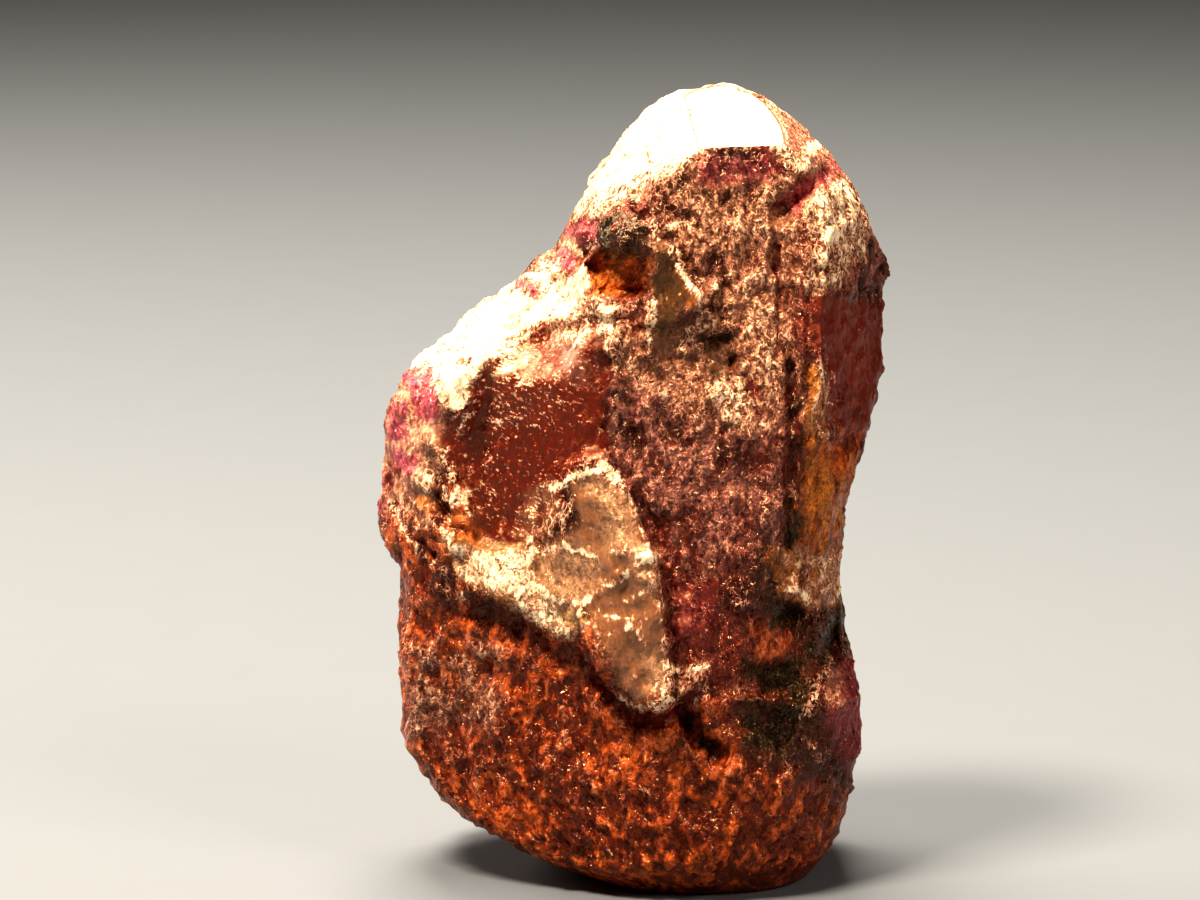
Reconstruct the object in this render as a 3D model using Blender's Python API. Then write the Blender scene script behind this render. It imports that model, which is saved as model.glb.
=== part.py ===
"""A loose alexandrite crystal: one worn and etched stone, standing on its flat worn foot.

The stone is a stack of squared ovals, cut to flat crystal faces, with steps, hollows and ridges
raised on it or sunk in it. Lengths are in millimetres until the mesh is filled in.
Frame: +X to the right and +Y to the back, seen from the front, +Z up, foot centred under the box.
"""

import math
from collections import namedtuple

import bmesh
import bpy
import numpy as np

MM = 0.001
NAME = "alexandrite_crystal"

# The stone's rough form: height, left, right, front and back of each level section.
SECTIONS = np.array([
    (-0.45, 0.90, 0.90, -0.10, -0.10),
    (-0.40, -0.30, 2.15, -1.15, 1.15),
    (-0.15, -0.40, 3.20, -2.10, 2.05),
    (0.55, -2.16, 3.86, -3.00, 2.90),
    (1.35, -3.38, 4.14, -3.40, 3.25),
    (2.40, -4.18, 4.33, -3.55, 3.40),
    (3.50, -4.34, 4.28, -3.50, 3.40),
    (4.60, -4.33, 4.02, -3.40, 3.30),
    (5.70, -4.26, 3.92, -3.45, 3.30),
    (6.80, -4.70, 4.02, -3.50, 3.30),
    (7.70, -5.20, 4.24, -3.45, 3.25),
    (8.60, -4.72, 4.48, -3.35, 3.20),
    (9.50, -4.26, 4.68, -3.25, 3.15),
    (10.25, -3.46, 4.80, -3.15, 3.10),
    (10.95, -2.45, 4.80, -3.05, 3.00),
    (11.70, -1.52, 4.66, -2.95, 2.90),
    (12.55, -0.98, 4.24, -2.85, 2.75),
    (13.35, -0.52, 3.76, -2.75, 2.45),
    (14.10, 0.00, 3.10, -2.50, 1.95),
    (14.70, 0.66, 2.44, -1.60, 1.25),
    (15.00, 1.75, 1.75, -0.20, -0.20),
])
SQUARENESS = 2.5
# Where the middle of the box lies in the sections' own frame: it becomes the origin.
MIDDLE = (0.03, -0.137)

# Flat faces: turn from the front (+ to the right) and tilt up in degrees, a point on the face,
# how softly its border rounds, and how far it runs from its point.
Flat = namedtuple("Flat", "turn tilt point soft reach")
WHOLE = 99.0
FLATS = {
    "front": Flat(3, 8, (1.30, -2.80, 9.00), 0.08, WHOLE),
    "right front": Flat(62, 2, (4.00, -1.56, 9.50), 0.08, WHOLE),
    "window": Flat(-24, -2, (-1.75, -2.55, 8.60), 0.10, WHOLE),
    "left rim": Flat(-62, 4, (-4.08, -1.15, 8.00), 0.16, WHOLE),
    "top": Flat(0, 61, (2.00, -2.05, 13.95), 0.05, WHOLE),
    "top right": Flat(56, 44, (3.05, -1.89, 14.04), 0.06, WHOLE),
    "top left": Flat(-50, 42, (0.34, -1.50, 13.62), 0.12, 2.6),
    "shoulder": Flat(-58, 20, (-0.80, -1.70, 12.20), 0.16, 2.0),
    "lobe top": Flat(-72, 47, (-2.70, -2.05, 10.15), 0.22, 2.2),
    "base front": Flat(-6, -4, (0.00, -3.22, 2.60), 0.20, WHOLE),
    "base left": Flat(-48, -10, (-3.35, -2.10, 2.40), 0.20, 4.0),
    "base right": Flat(55, -8, (3.75, -2.05, 2.40), 0.20, 3.5),
    "under left": Flat(-44, -48, (-2.70, -1.55, 0.85), 0.20, 3.0),
    "back": Flat(176, 5, (0.60, 2.70, 8.00), 0.10, WHOLE),
    "back right": Flat(124, 2, (3.80, 1.65, 8.00), 0.10, WHOLE),
    "back left": Flat(-128, 4, (-3.40, 1.80, 6.50), 0.12, WHOLE),
    "back top": Flat(170, 50, (1.90, 1.45, 13.90), 0.10, 3.5),
    "back lobe": Flat(-140, 44, (-2.60, 1.50, 10.30), 0.14, 2.4),
    "back base": Flat(168, -16, (0.20, 3.00, 1.40), 0.20, 3.5),
}

# Relief is laid out across and up as an eye before each side sees it, EYE_AWAY from EYE_CENTRE.
View = namedtuple("View", "turn tilt")
VIEWS = {"front": View(0, 10), "right": View(90, 0), "back": View(180, 0), "left": View(-90, 0)}
EYE_AWAY = 94.0
EYE_CENTRE = (-0.57, 0.0, 7.98)
# How squarely a face must look at the eye before the relief is fully on it.
FACING_FRONT = (0.05, 0.35)
FACING_SIDE = (0.35, 0.75)

# Sunken or raised fields: height, width of the edge, corners.
Field = namedtuple("Field", "height edge corners")
FIELDS = {
    "front": [
        # the sunken window on the left lobe
        Field(-0.22, 0.35, [(-3.00, 8.75), (-2.60, 9.55), (-1.4, 10.20), (-0.62, 10.3), (-0.5, 9.0),
                            (-0.5, 7.75), (-1.05, 7.60), (-1.35, 7.25), (-1.35, 6.75), (-1.75, 6.10),
                            (-2.3, 5.95), (-2.9, 6.1), (-3.2, 7.3)]),
        # the hollow in the column, and the shallow place under it
        Field(-0.62, 0.24, [(-0.82, 11.36), (-0.50, 11.50), (0.36, 11.46), (0.36, 10.88), (0.1, 10.74),
                            (-0.55, 10.78)]),
        Field(-0.12, 0.30, [(-0.7, 10.9), (0.3, 10.8), (0.3, 10.1), (-0.5, 10.2)]),
    ],
    "right": [
        Field(-0.18, 0.30, [(0.7, 6.2), (2.2, 6.6), (2.4, 9.6), (1.2, 11.0)]),
    ],
    "back": [
        Field(-0.26, 0.30, [(-3.2, 8.4), (-1.4, 8.0), (-0.8, 10.6), (-1.6, 12.2), (-3.0, 11.4)]),
        Field(-0.22, 0.30, [(0.6, 3.0), (2.6, 3.6), (3.0, 5.4), (1.2, 5.9)]),
    ],
    "left": [
        Field(-0.18, 0.30, [(-2.2, 2.4), (-0.6, 2.0), (-0.4, 4.4), (-1.8, 5.0)]),
    ],
}

# Ridges and grooves: height, half width, line.
Ridge = namedtuple("Ridge", "height width line")
RIDGES = {
    "front": [
        # the left edge of the three-cornered plate beside the hollow, and a hooked ridge
        Ridge(0.18, 0.12, [(0.52, 11.5), (0.42, 11.1), (0.46, 10.6), (0.34, 10.2), (0.36, 9.7)]),
        Ridge(0.14, 0.12, [(-0.5, 10.4), (-0.2, 10.25), (-0.3, 9.65)]),
        # the notch across the upper right corner
        Ridge(-0.36, 0.22, [(3.95, 13.25), (3.3, 12.75), (2.81, 12.37)]),
        # the undercut of the shelf
        Ridge(-0.20, 0.30, [(-3.35, 5.0), (-2.7, 4.68), (-2.0, 4.45), (-1.3, 4.0)]),
        # the break between the upper stone and its base
        Ridge(-0.26, 0.22, [(-0.6, 3.45), (0.2, 2.8), (0.95, 2.75)]),
        Ridge(-0.36, 0.18, [(0.9, 3.0), (1.2, 2.55), (1.6, 2.1)]),
        # where the lobe meets the column
        Ridge(-0.22, 0.30, [(-1.7, 11.35), (-1.1, 10.75), (-0.7, 10.35)]),
        # the rib between the pits of the waist
        Ridge(0.26, 0.15, [(3.45, 4.7), (3.6, 4.0), (3.95, 3.1)]),
        # the upright edge between the front and the right, and the groove beside it
        Ridge(0.12, 0.12, [(3.28, 10.3), (3.22, 8.6), (3.14, 6.2)]),
        Ridge(-0.14, 0.12, [(3.05, 9.4), (2.98, 6.1)]),
        # the net of ridges on the left rim
        Ridge(0.16, 0.14, [(-3.77, 8.03), (-3.56, 7.61), (-3.17, 7.09), (-2.90, 6.56)]),
        Ridge(0.14, 0.14, [(-4.30, 7.35), (-3.77, 7.35), (-3.37, 7.01), (-3.24, 6.56)]),
        Ridge(0.14, 0.14, [(-4.50, 6.75), (-4.24, 6.28), (-3.84, 5.88)]),
        Ridge(0.14, 0.14, [(-3.77, 5.75), (-3.56, 5.41), (-3.17, 5.02)]),
    ],
    "right": [
        Ridge(0.12, 0.18, [(1.6, 4.0), (1.9, 7.0), (1.5, 10.5)]),
        Ridge(-0.16, 0.20, [(0.8, 2.2), (2.0, 3.6), (2.6, 5.4)]),
    ],
    "back": [
        Ridge(0.22, 0.18, [(-0.2, 12.8), (-0.6, 10.6), (-0.3, 8.6)]),
        Ridge(-0.22, 0.22, [(-3.2, 4.6), (-1.6, 3.7), (0.4, 3.9)]),
    ],
    "left": [
        Ridge(0.12, 0.18, [(-2.2, 9.4), (-1.2, 8.2), (-0.8, 6.6)]),
    ],
}

# Steps: height at the line, how far it falls off on the line's left and on its right, line.
Step = namedtuple("Step", "height left right line")
STEPS = {
    "front": [
        # the bright shelf under the window
        Step(0.34, 0.75, 0.16, [(-3.50, 5.75), (-3.05, 5.22), (-2.45, 5.08), (-1.9, 4.80), (-1.25, 4.42),
                                (-0.95, 4.1)]),
        # the brow over the hollow
        Step(0.16, 0.45, 0.12, [(-0.65, 11.60), (-0.2, 11.62), (0.36, 11.5)]),
        # the upper rim of the window
        Step(0.08, 0.14, 0.60, [(-0.55, 10.35), (-1.4, 10.3), (-2.72, 9.72), (-3.1, 8.75)]),
        # the three-cornered plate: its long edge stands highest, and its lower edge overhangs
        Step(0.36, 0.12, 0.55, [(0.34, 12.05), (0.70, 11.50), (1.36, 10.64)]),
        Step(0.20, 0.12, 0.45, [(1.36, 10.64), (1.05, 10.40), (0.70, 10.30)]),
        # small shelves over the break
        Step(0.16, 0.40, 0.12, [(0.5, 3.1), (1.0, 3.3), (1.5, 3.65)]),
        Step(0.18, 0.15, 0.30, [(1.8, 3.2), (3.3, 3.15)]),
    ],
    "right": [
        Step(0.12, 0.80, 0.16, [(0.2, 11.5), (1.8, 12.0)]),
    ],
    "back": [
        Step(0.32, 0.16, 1.00, [(2.8, 8.7), (0.8, 7.7), (-1.0, 7.9), (-3.4, 6.9)]),
        Step(0.24, 0.80, 0.16, [(-2.4, 2.2), (-0.6, 1.8), (1.6, 2.3)]),
    ],
    "left": [
        Step(0.12, 0.80, 0.16, [(-2.2, 6.0), (-0.9, 5.6), (0.6, 6.1)]),
    ],
}

# Pits and swellings: height, centre, half length and half width, lean in degrees.
Pit = namedtuple("Pit", "height centre size lean")
PITS = {
    "front": [
        Pit(-0.24, (1.65, 9.93), (0.34, 0.18), 0),
        Pit(-0.24, (1.83, 9.50), (0.18, 0.20), 0),
        # the waist at the right
        Pit(-0.30, (3.40, 4.20), (0.90, 1.10), 0),
        Pit(-0.45, (3.00, 4.72), (0.26, 0.20), 0),
        Pit(-0.60, (3.80, 4.25), (0.20, 0.55), -8),
        Pit(-0.28, (2.70, 3.60), (0.50, 0.26), 0),
        Pit(-0.24, (2.70, 2.75), (0.50, 0.26), 0),
        Pit(-0.14, (-2.64, 3.78), (0.26, 0.22), 0),
        # the swelling of the brow
        Pit(0.14, (-0.12, 11.80), (0.45, 0.20), -8),
    ],
    "right": [
        Pit(-0.20, (1.2, 12.6), (0.6, 0.35), 20),
        Pit(-0.18, (-1.2, 1.6), (0.7, 0.35), -35),
    ],
    "back": [
        Pit(-0.26, (1.2, 10.2), (0.5, 0.8), 20),
        Pit(-0.22, (-1.8, 5.9), (0.6, 0.4), -15),
    ],
    "left": [
        Pit(-0.20, (-1.2, 10.2), (0.5, 0.35), 10),
        Pit(-0.16, (0.9, 3.2), (0.5, 0.25), -50),
    ],
}

# The pale chip broken out below the window: its outline, and its three flats as
# (height, point, rise across, rise up). The lowest flat holds at each place.
CHIP = [(-1.42, 7.3), (-1.05, 7.58), (-0.48, 7.72), (-0.1, 7.1), (0.36, 6.2), (0.56, 5.2),
        (0.66, 4.3), (0.72, 3.05), (0.2, 2.98), (-0.4, 3.35), (-0.75, 4.1), (-1.15, 4.85),
        (-1.9, 5.25), (-1.98, 5.8), (-1.8, 6.1), (-1.35, 6.75)]
CHIP_FLATS = [
    (0.10, (-1.0, 7.7), 0.05, -0.16),
    (0.20, (-1.2, 5.5), 0.30, -0.06),
    (0.24, (0.4, 3.0), -0.10, 0.12),
]
CHIP_MOST = 0.45
CHIP_EDGE = 0.25

# The clean top face keeps its polish: across and up, front view.
TOP_FACE = [(0.95, 14.6), (1.00, 13.36), (3.02, 13.36), (3.05, 14.1), (2.6, 14.74), (1.3, 14.84)]

TOP_FADE = 0.3

# Wear of the whole skin: small slanted flats, (height, size, seed), longer than wide by GRAIN
# and with creases between them, and broad waves. Both repeat after so many cells.
CHIPPING = [(0.12, 1.5, 3), (0.06, 0.62, 6)]
GRAIN = (1.0, 1.0, 0.75)
CREASE = 0.22
CHIP_CELLS = 16
WAVE_CELLS = 32
WAVE_HEIGHT = 0.05
WAVE_SIZE = 1.9
WAVE_SEED = 1
WANDER = 0.06
WANDER_SIZE = 0.7
WANDER_SEEDS = (11, 13)
FOOT_BLEND = (0.1, 0.8)

# Step around and up for measuring slopes, in radians and in rows of SECTIONS.
NUDGE = 0.01

CUTTER_WIDE = 12.0
CUTTER_DEEP = 2.0

COLUMNS = 220
ROWS = 130
FRONT_CROWDING = 0.3
MOST_TRIANGLES = 9400


def ramp(value, low, high):
    """0 below low and 1 above high, with a smooth rise between."""
    part = np.clip((value - low) / (high - low), 0, 1)
    return part * part * (3 - 2 * part)


def spline(rows, at):
    """Catmull-Rom curve through the rows, read at row numbers."""
    last = len(rows) - 1
    start = np.clip(np.floor(at).astype(int), 0, last - 1)
    part = (at - start)[:, None]
    before = rows[np.maximum(start - 1, 0)]
    here = rows[start]
    there = rows[start + 1]
    after = rows[np.minimum(start + 2, last)]
    return 0.5 * (
        2 * here
        + (there - before) * part
        + (2 * before - 5 * here + 4 * there - after) * part**2
        + (3 * here - before - 3 * there + after) * part**3
    )


def rough_form(around, level):
    """Points on the stack of squared ovals, by angle around and row number of SECTIONS."""
    height, left, right, front, back = spline(SECTIONS, level).T
    across = np.cos(around)
    deep = np.sin(around)
    reach = (np.abs(across) ** SQUARENESS + np.abs(deep) ** SQUARENESS) ** (-1 / SQUARENESS)
    x = (left + right) / 2 + (right - left) / 2 * reach * across
    y = (front + back) / 2 + (back - front) / 2 * reach * deep
    return np.stack([x, y, height], axis=-1)


def direction(turn, tilt):
    """Unit direction, turned from the front to the right and tilted up, in degrees."""
    turn = math.radians(turn)
    tilt = math.radians(tilt)
    level = math.cos(tilt)
    return np.array([math.sin(turn) * level, -math.cos(turn) * level, math.sin(tilt)])


def lapped(points, flat):
    """Points that stand out of the flat's plane are laid on it, within its reach."""
    facing = direction(flat.turn, flat.tilt)
    offset = points - np.array(flat.point)
    out = offset @ facing
    over = 0.5 * (out + np.sqrt(out**2 + flat.soft**2 / 4))
    far = ramp(np.linalg.norm(offset, axis=-1), flat.reach, flat.reach * 1.5)
    return points - (over * (1 - far))[:, None] * facing


def faced_form(around, level):
    """The rough form with all its flats. Two rounds, so that neighbours settle together."""
    points = rough_form(around, level)
    for _ in range(2):
        for flat in FLATS.values():
            points = lapped(points, flat)
    return points


def seen(points, view):
    """Across and up of the points for the eye before that side, and the direction to the eye."""
    eye = direction(view.turn, view.tilt)
    turn = math.radians(view.turn)
    right = np.array([math.cos(turn), math.sin(turn), 0.0])
    centre = np.array(EYE_CENTRE)
    offset = points - centre
    grow = EYE_AWAY / (EYE_AWAY - offset @ eye)
    up = np.cross(eye, right)
    across = centre @ right + offset @ right * grow
    return across, centre @ up + offset @ up * grow, eye


def waves(points, size, seed):
    """Smooth random lumps about that size, from -1 to 1: blended values of a random lattice."""
    lattice = np.random.default_rng(seed).random((WAVE_CELLS,) * 3) * 2 - 1
    place = points / size + WAVE_CELLS / 2
    low = np.floor(place).astype(int)
    part = place - low
    part = part**3 * (part * (part * 6 - 15) + 10)
    total = np.zeros(len(points))
    for corner in np.ndindex(2, 2, 2):
        share = np.prod(np.where(corner, part, 1 - part), axis=-1)
        total += share * lattice[tuple(((low + corner) % WAVE_CELLS).T)]
    return total


def chipping(points, size, seed):
    """Small flats of random slant about that size, which meet in soft creases."""
    random = np.random.default_rng(seed)
    jitter = random.random((CHIP_CELLS, CHIP_CELLS, CHIP_CELLS, 3))
    slant = random.normal(size=jitter.shape)
    slant /= np.linalg.norm(slant, axis=-1, keepdims=True)
    place = points / size + CHIP_CELLS / 2
    low = np.floor(place).astype(int)
    aways = []
    rises = []
    for step in np.ndindex(3, 3, 3):
        cell = low + step - 1
        key = tuple((cell % CHIP_CELLS).T)
        offset = place - cell - jitter[key]
        aways.append(np.linalg.norm(offset, axis=-1))
        rises.append((offset * slant[key]).sum(-1))
    aways = np.array(aways)
    rises = np.array(rises)
    order = np.argsort(aways, axis=0)[:2]
    near, second = np.take_along_axis(aways, order, axis=0)
    near_rise, second_rise = np.take_along_axis(rises, order, axis=0)
    own = 0.5 + 0.5 * ramp(second - near, 0, CREASE)
    return near_rise * own + second_rise * (1 - own)


def from_line(across, up, line):
    """Distance from the line, and on which side of its run: 1 for the left, -1 for the right."""
    best = np.full(across.shape, np.inf)
    side = np.zeros(across.shape)
    for (x0, y0), (x1, y1) in zip(line[:-1], line[1:]):
        run = math.hypot(x1 - x0, y1 - y0)
        ux = (x1 - x0) / run
        uy = (y1 - y0) / run
        along = np.clip((across - x0) * ux + (up - y0) * uy, 0, run)
        dx = across - (x0 + along * ux)
        dy = up - (y0 + along * uy)
        away = np.hypot(dx, dy)
        side = np.where(away < best, np.sign(ux * dy - uy * dx), side)
        best = np.minimum(best, away)
    return best, side


def within(across, up, corners, edge):
    """1 inside the outline and 0 outside, fading over the edge's width."""
    closed = corners + corners[:1]
    away, _ = from_line(across, up, closed)
    inner = np.zeros(across.shape, bool)
    for (x0, y0), (x1, y1) in zip(closed[:-1], closed[1:]):
        if y0 != y1:
            level = (up >= min(y0, y1)) & (up < max(y0, y1))
            inner ^= level & (across < x0 + (up - y0) / (y1 - y0) * (x1 - x0))
    return ramp(np.where(inner, away, -away), -edge / 2, edge / 2)


def chip_height(across, up):
    """The pale chip: the lowest of its flats, within its outline."""
    flats = [high + rise_x * (across - x) + rise_y * (up - y) for high, (x, y), rise_x, rise_y in CHIP_FLATS]
    return within(across, up, CHIP, CHIP_EDGE) * np.clip(np.minimum.reduce(flats), 0, CHIP_MOST)


def relief(side, across, up):
    """Height over one side's faces, the sum of its fields, ridges, steps and pits."""
    height = np.zeros(across.shape)
    for field in FIELDS[side]:
        height += field.height * within(across, up, field.corners, field.edge)
    for ridge in RIDGES[side]:
        away, _ = from_line(across, up, ridge.line)
        height += ridge.height * np.exp(-((away / ridge.width) ** 2))
    for step in STEPS[side]:
        away, on = from_line(across, up, step.line)
        height += step.height * np.exp(-((away / np.where(on > 0, step.left, step.right)) ** 2))
    for pit in PITS[side]:
        lean = math.radians(pit.lean)
        dx = across - pit.centre[0]
        dy = up - pit.centre[1]
        long = dx * math.cos(lean) + dy * math.sin(lean)
        wide = dy * math.cos(lean) - dx * math.sin(lean)
        height += pit.height * np.exp(-((long / pit.size[0]) ** 2) - (wide / pit.size[1]) ** 2)
    if side == "front":
        height += chip_height(across, up)
    return height


def outward(form, around, level):
    """Unit normals of a form, from small steps around and up it."""
    sideways = form(around + NUDGE, level) - form(around - NUDGE, level)
    upward = form(around, level + NUDGE) - form(around, level - NUDGE)
    normal = np.cross(sideways, upward)
    return normal / np.maximum(np.linalg.norm(normal, axis=-1, keepdims=True), 1e-12)


def carved_form(around, level):
    """The faced form with each side's relief pushed in or out along the line to its eye."""
    points = faced_form(around, level)
    normal = outward(faced_form, around, level)
    wander = [WANDER * waves(points, WANDER_SIZE, seed) for seed in WANDER_SEEDS]
    moved = points.copy()
    for side, view in VIEWS.items():
        across, up, eye = seen(points, view)
        faces_eye = ramp(normal @ eye, *(FACING_FRONT if side == "front" else FACING_SIDE))
        height = relief(side, across + wander[0], up + wander[1])
        moved += (height * faces_eye)[:, None] * eye
    return moved


def worn_form(around, level):
    """The carved form with the wear of its skin, which spares the top face and the foot."""
    points = carved_form(around, level)
    normal = outward(carved_form, around, level)
    wear = WAVE_HEIGHT * waves(points, WAVE_SIZE, WAVE_SEED)
    for high, size, seed in CHIPPING:
        wear += high * chipping(points * GRAIN, size, seed)
    across, up, eye = seen(points, VIEWS["front"])
    wear *= 1 - within(across, up, TOP_FACE, TOP_FADE) * ramp(normal @ eye, *FACING_FRONT)
    wear *= ramp(points[:, 2], *FOOT_BLEND)
    return points + wear[:, None] * normal


def crystal_material():
    """Garnet red under warm light, glassy, a little clear."""
    material = bpy.data.materials.new("alexandrite")
    material.use_nodes = True
    shader = material.node_tree.nodes["Principled BSDF"]
    shader.inputs["Base Color"].default_value = (0.17, 0.03, 0.025, 1.0)
    shader.inputs["Roughness"].default_value = 0.25
    shader.inputs["Metallic"].default_value = 0.0
    shader.inputs["IOR"].default_value = 1.75
    return material


def foot_cutter(collection):
    """A block under the ground plane, which cuts the foot flat."""
    bpy.ops.mesh.primitive_cube_add(size=1.0, location=(0, 0, -CUTTER_DEEP / 2 * MM))
    block = bpy.context.object
    block.name = "foot_cutter"
    block.scale = (CUTTER_WIDE * MM, CUTTER_WIDE * MM, CUTTER_DEEP * MM)
    block.hide_render = True
    block.display_type = "WIRE"
    for user in list(block.users_collection):
        user.objects.unlink(block)
    collection.objects.link(block)
    return block


def crystal(collection, cutter):
    """A sphere whose rings become the level sections, thinned to the triangles it may have."""
    shell = bmesh.new()
    bmesh.ops.create_uvsphere(shell, u_segments=COLUMNS, v_segments=ROWS, radius=1.0)
    places = np.array([vertex.co for vertex in shell.verts])
    turned = np.arctan2(places[:, 1], places[:, 0])
    around = turned - FRONT_CROWDING * np.cos(turned)
    level = (1 - np.arccos(np.clip(places[:, 2], -1, 1)) / math.pi) * (len(SECTIONS) - 1)
    points = worn_form(around, level) - np.array([*MIDDLE, 0.0])
    for vertex, point in zip(shell.verts, points * MM):
        vertex.co = point
    bmesh.ops.triangulate(shell, faces=shell.faces)
    bmesh.ops.recalc_face_normals(shell, faces=shell.faces)
    full = len(shell.faces)
    mesh = bpy.data.meshes.new(NAME)
    shell.to_mesh(mesh)
    shell.free()
    mesh.materials.append(crystal_material())
    stone = bpy.data.objects.new(NAME, mesh)
    collection.objects.link(stone)
    thin = stone.modifiers.new("thin", "DECIMATE")
    thin.ratio = MOST_TRIANGLES / full
    foot = stone.modifiers.new("foot", "BOOLEAN")
    foot.operation = "DIFFERENCE"
    foot.solver = "EXACT"
    foot.object = cutter


def main():
    for old in list(bpy.data.objects):
        bpy.data.objects.remove(old)
    parts = bpy.data.collections.new("alexandrite crystal")
    cutters = bpy.data.collections.new("cutters")
    for collection in (parts, cutters):
        bpy.context.scene.collection.children.link(collection)
    crystal(parts, foot_cutter(cutters))


main()
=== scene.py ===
"""Finish of a loose alexandrite crystal: its etched skin as one worked-out surface, its garnet
material, and a pale studio round it. Shape values are in millimetres until the mesh is filled in.
"""

import math
from collections import namedtuple

import bpy
import numpy as np
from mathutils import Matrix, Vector

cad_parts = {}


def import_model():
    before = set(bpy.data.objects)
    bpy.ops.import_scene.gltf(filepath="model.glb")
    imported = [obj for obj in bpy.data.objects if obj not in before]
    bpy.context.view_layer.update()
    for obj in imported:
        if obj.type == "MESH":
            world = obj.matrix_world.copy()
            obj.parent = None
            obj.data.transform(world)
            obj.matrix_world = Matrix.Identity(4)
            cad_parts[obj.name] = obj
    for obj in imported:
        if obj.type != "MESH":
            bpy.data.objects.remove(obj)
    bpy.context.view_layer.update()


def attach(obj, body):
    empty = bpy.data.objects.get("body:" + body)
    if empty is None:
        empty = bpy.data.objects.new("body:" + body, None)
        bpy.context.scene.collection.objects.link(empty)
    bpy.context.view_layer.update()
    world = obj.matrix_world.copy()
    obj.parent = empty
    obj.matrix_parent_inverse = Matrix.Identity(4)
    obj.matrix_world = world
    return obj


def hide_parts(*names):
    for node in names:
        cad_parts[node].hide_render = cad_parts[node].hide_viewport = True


MM = 0.001
NODE = "alexandrite_crystal"
TINY = 1e-12

# ---------------------------------------------------------------------------------------------
# Form: the same sections, flats and relief as the solid, with finer relief added.
# ---------------------------------------------------------------------------------------------

# height, left, right, front and back of each level section
SECTIONS = np.array([
    (-0.45, 0.90, 0.90, -0.10, -0.10),
    (-0.40, -0.30, 2.15, -1.15, 1.15),
    (-0.15, -0.40, 3.20, -2.10, 2.05),
    (0.55, -2.16, 3.86, -3.00, 2.90),
    (1.35, -3.38, 4.14, -3.40, 3.25),
    (2.40, -4.18, 4.33, -3.55, 3.40),
    (3.50, -4.34, 4.28, -3.50, 3.40),
    (4.60, -4.33, 4.02, -3.40, 3.30),
    (5.70, -4.26, 3.92, -3.45, 3.30),
    (6.80, -4.70, 4.02, -3.50, 3.30),
    (7.70, -5.20, 4.24, -3.45, 3.25),
    (8.60, -4.72, 4.48, -3.35, 3.20),
    (9.50, -4.26, 4.68, -3.25, 3.15),
    (10.25, -3.46, 4.80, -3.15, 3.10),
    (10.95, -2.45, 4.80, -3.05, 3.00),
    (11.70, -1.52, 4.66, -2.95, 2.90),
    (12.55, -0.98, 4.24, -2.85, 2.75),
    (13.35, -0.52, 3.76, -2.75, 2.45),
    (14.10, 0.00, 3.10, -2.50, 1.95),
    (14.70, 0.66, 2.44, -1.60, 1.25),
    (15.00, 1.75, 1.75, -0.20, -0.20),
])
SQUARENESS = 2.5
# where the middle of the stone's box lies in the frame of the sections: it becomes the origin
MIDDLE = (0.03, -0.137)

# turn from the front (+ to the right) and tilt up in degrees, a point on it, the width over which
# its border rounds off, and how far it runs from the point: it fades out by REACH_FADE times that
Flat = namedtuple("Flat", "turn tilt point soft reach")
WHOLE = 99.0
REACH_FADE = 1.5
FLATS = {
    "front": Flat(3, 8, (1.30, -2.80, 9.00), 0.08, WHOLE),
    "right front": Flat(62, 2, (4.00, -1.56, 9.50), 0.08, WHOLE),
    "window": Flat(-24, -2, (-1.75, -2.55, 8.60), 0.10, WHOLE),
    "left rim": Flat(-62, 4, (-4.08, -1.15, 8.00), 0.16, WHOLE),
    "top": Flat(0, 61, (2.00, -2.05, 13.95), 0.05, WHOLE),
    "top right": Flat(56, 44, (3.11, -1.93, 14.11), 0.08, WHOLE),
    "top left": Flat(-50, 42, (0.34, -1.50, 13.62), 0.12, 2.6),
    "shoulder": Flat(-58, 20, (-0.80, -1.70, 12.20), 0.16, 2.0),
    "lobe top": Flat(-72, 47, (-2.70, -2.05, 10.15), 0.22, 2.2),
    "base front": Flat(-6, -4, (0.00, -3.22, 2.60), 0.20, WHOLE),
    "base left": Flat(-48, -10, (-3.35, -2.10, 2.40), 0.20, 4.0),
    "base right": Flat(55, -8, (3.75, -2.05, 2.40), 0.20, 3.5),
    "under left": Flat(-44, -48, (-2.70, -1.55, 0.85), 0.20, 3.0),
    "back": Flat(176, 5, (0.60, 2.70, 8.00), 0.10, WHOLE),
    "back right": Flat(124, 2, (3.80, 1.65, 8.00), 0.10, WHOLE),
    "back left": Flat(-128, 4, (-3.40, 1.80, 6.50), 0.12, WHOLE),
    "back top": Flat(170, 50, (1.90, 1.45, 13.90), 0.45, 3.5),
    "back lobe": Flat(-140, 44, (-2.60, 1.50, 10.30), 0.14, 2.4),
    "back base": Flat(168, -16, (0.20, 3.00, 1.40), 0.20, 3.5),
}

# relief is laid out across and up as an eye before each side sees it, EYE_AWAY from EYE_CENTRE;
# it fades out where a face turns away, between the two cosines to the eye
View = namedtuple("View", "turn tilt")
VIEWS = {"front": View(0, 10), "right": View(90, 0), "back": View(180, 0), "left": View(-90, 0)}
EYE_AWAY = 94.0
EYE_CENTRE = (-0.57, 0.0, 7.98)
FACING_FRONT = (0.05, 0.35)
FACING_SIDE = (0.35, 0.75)

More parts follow.
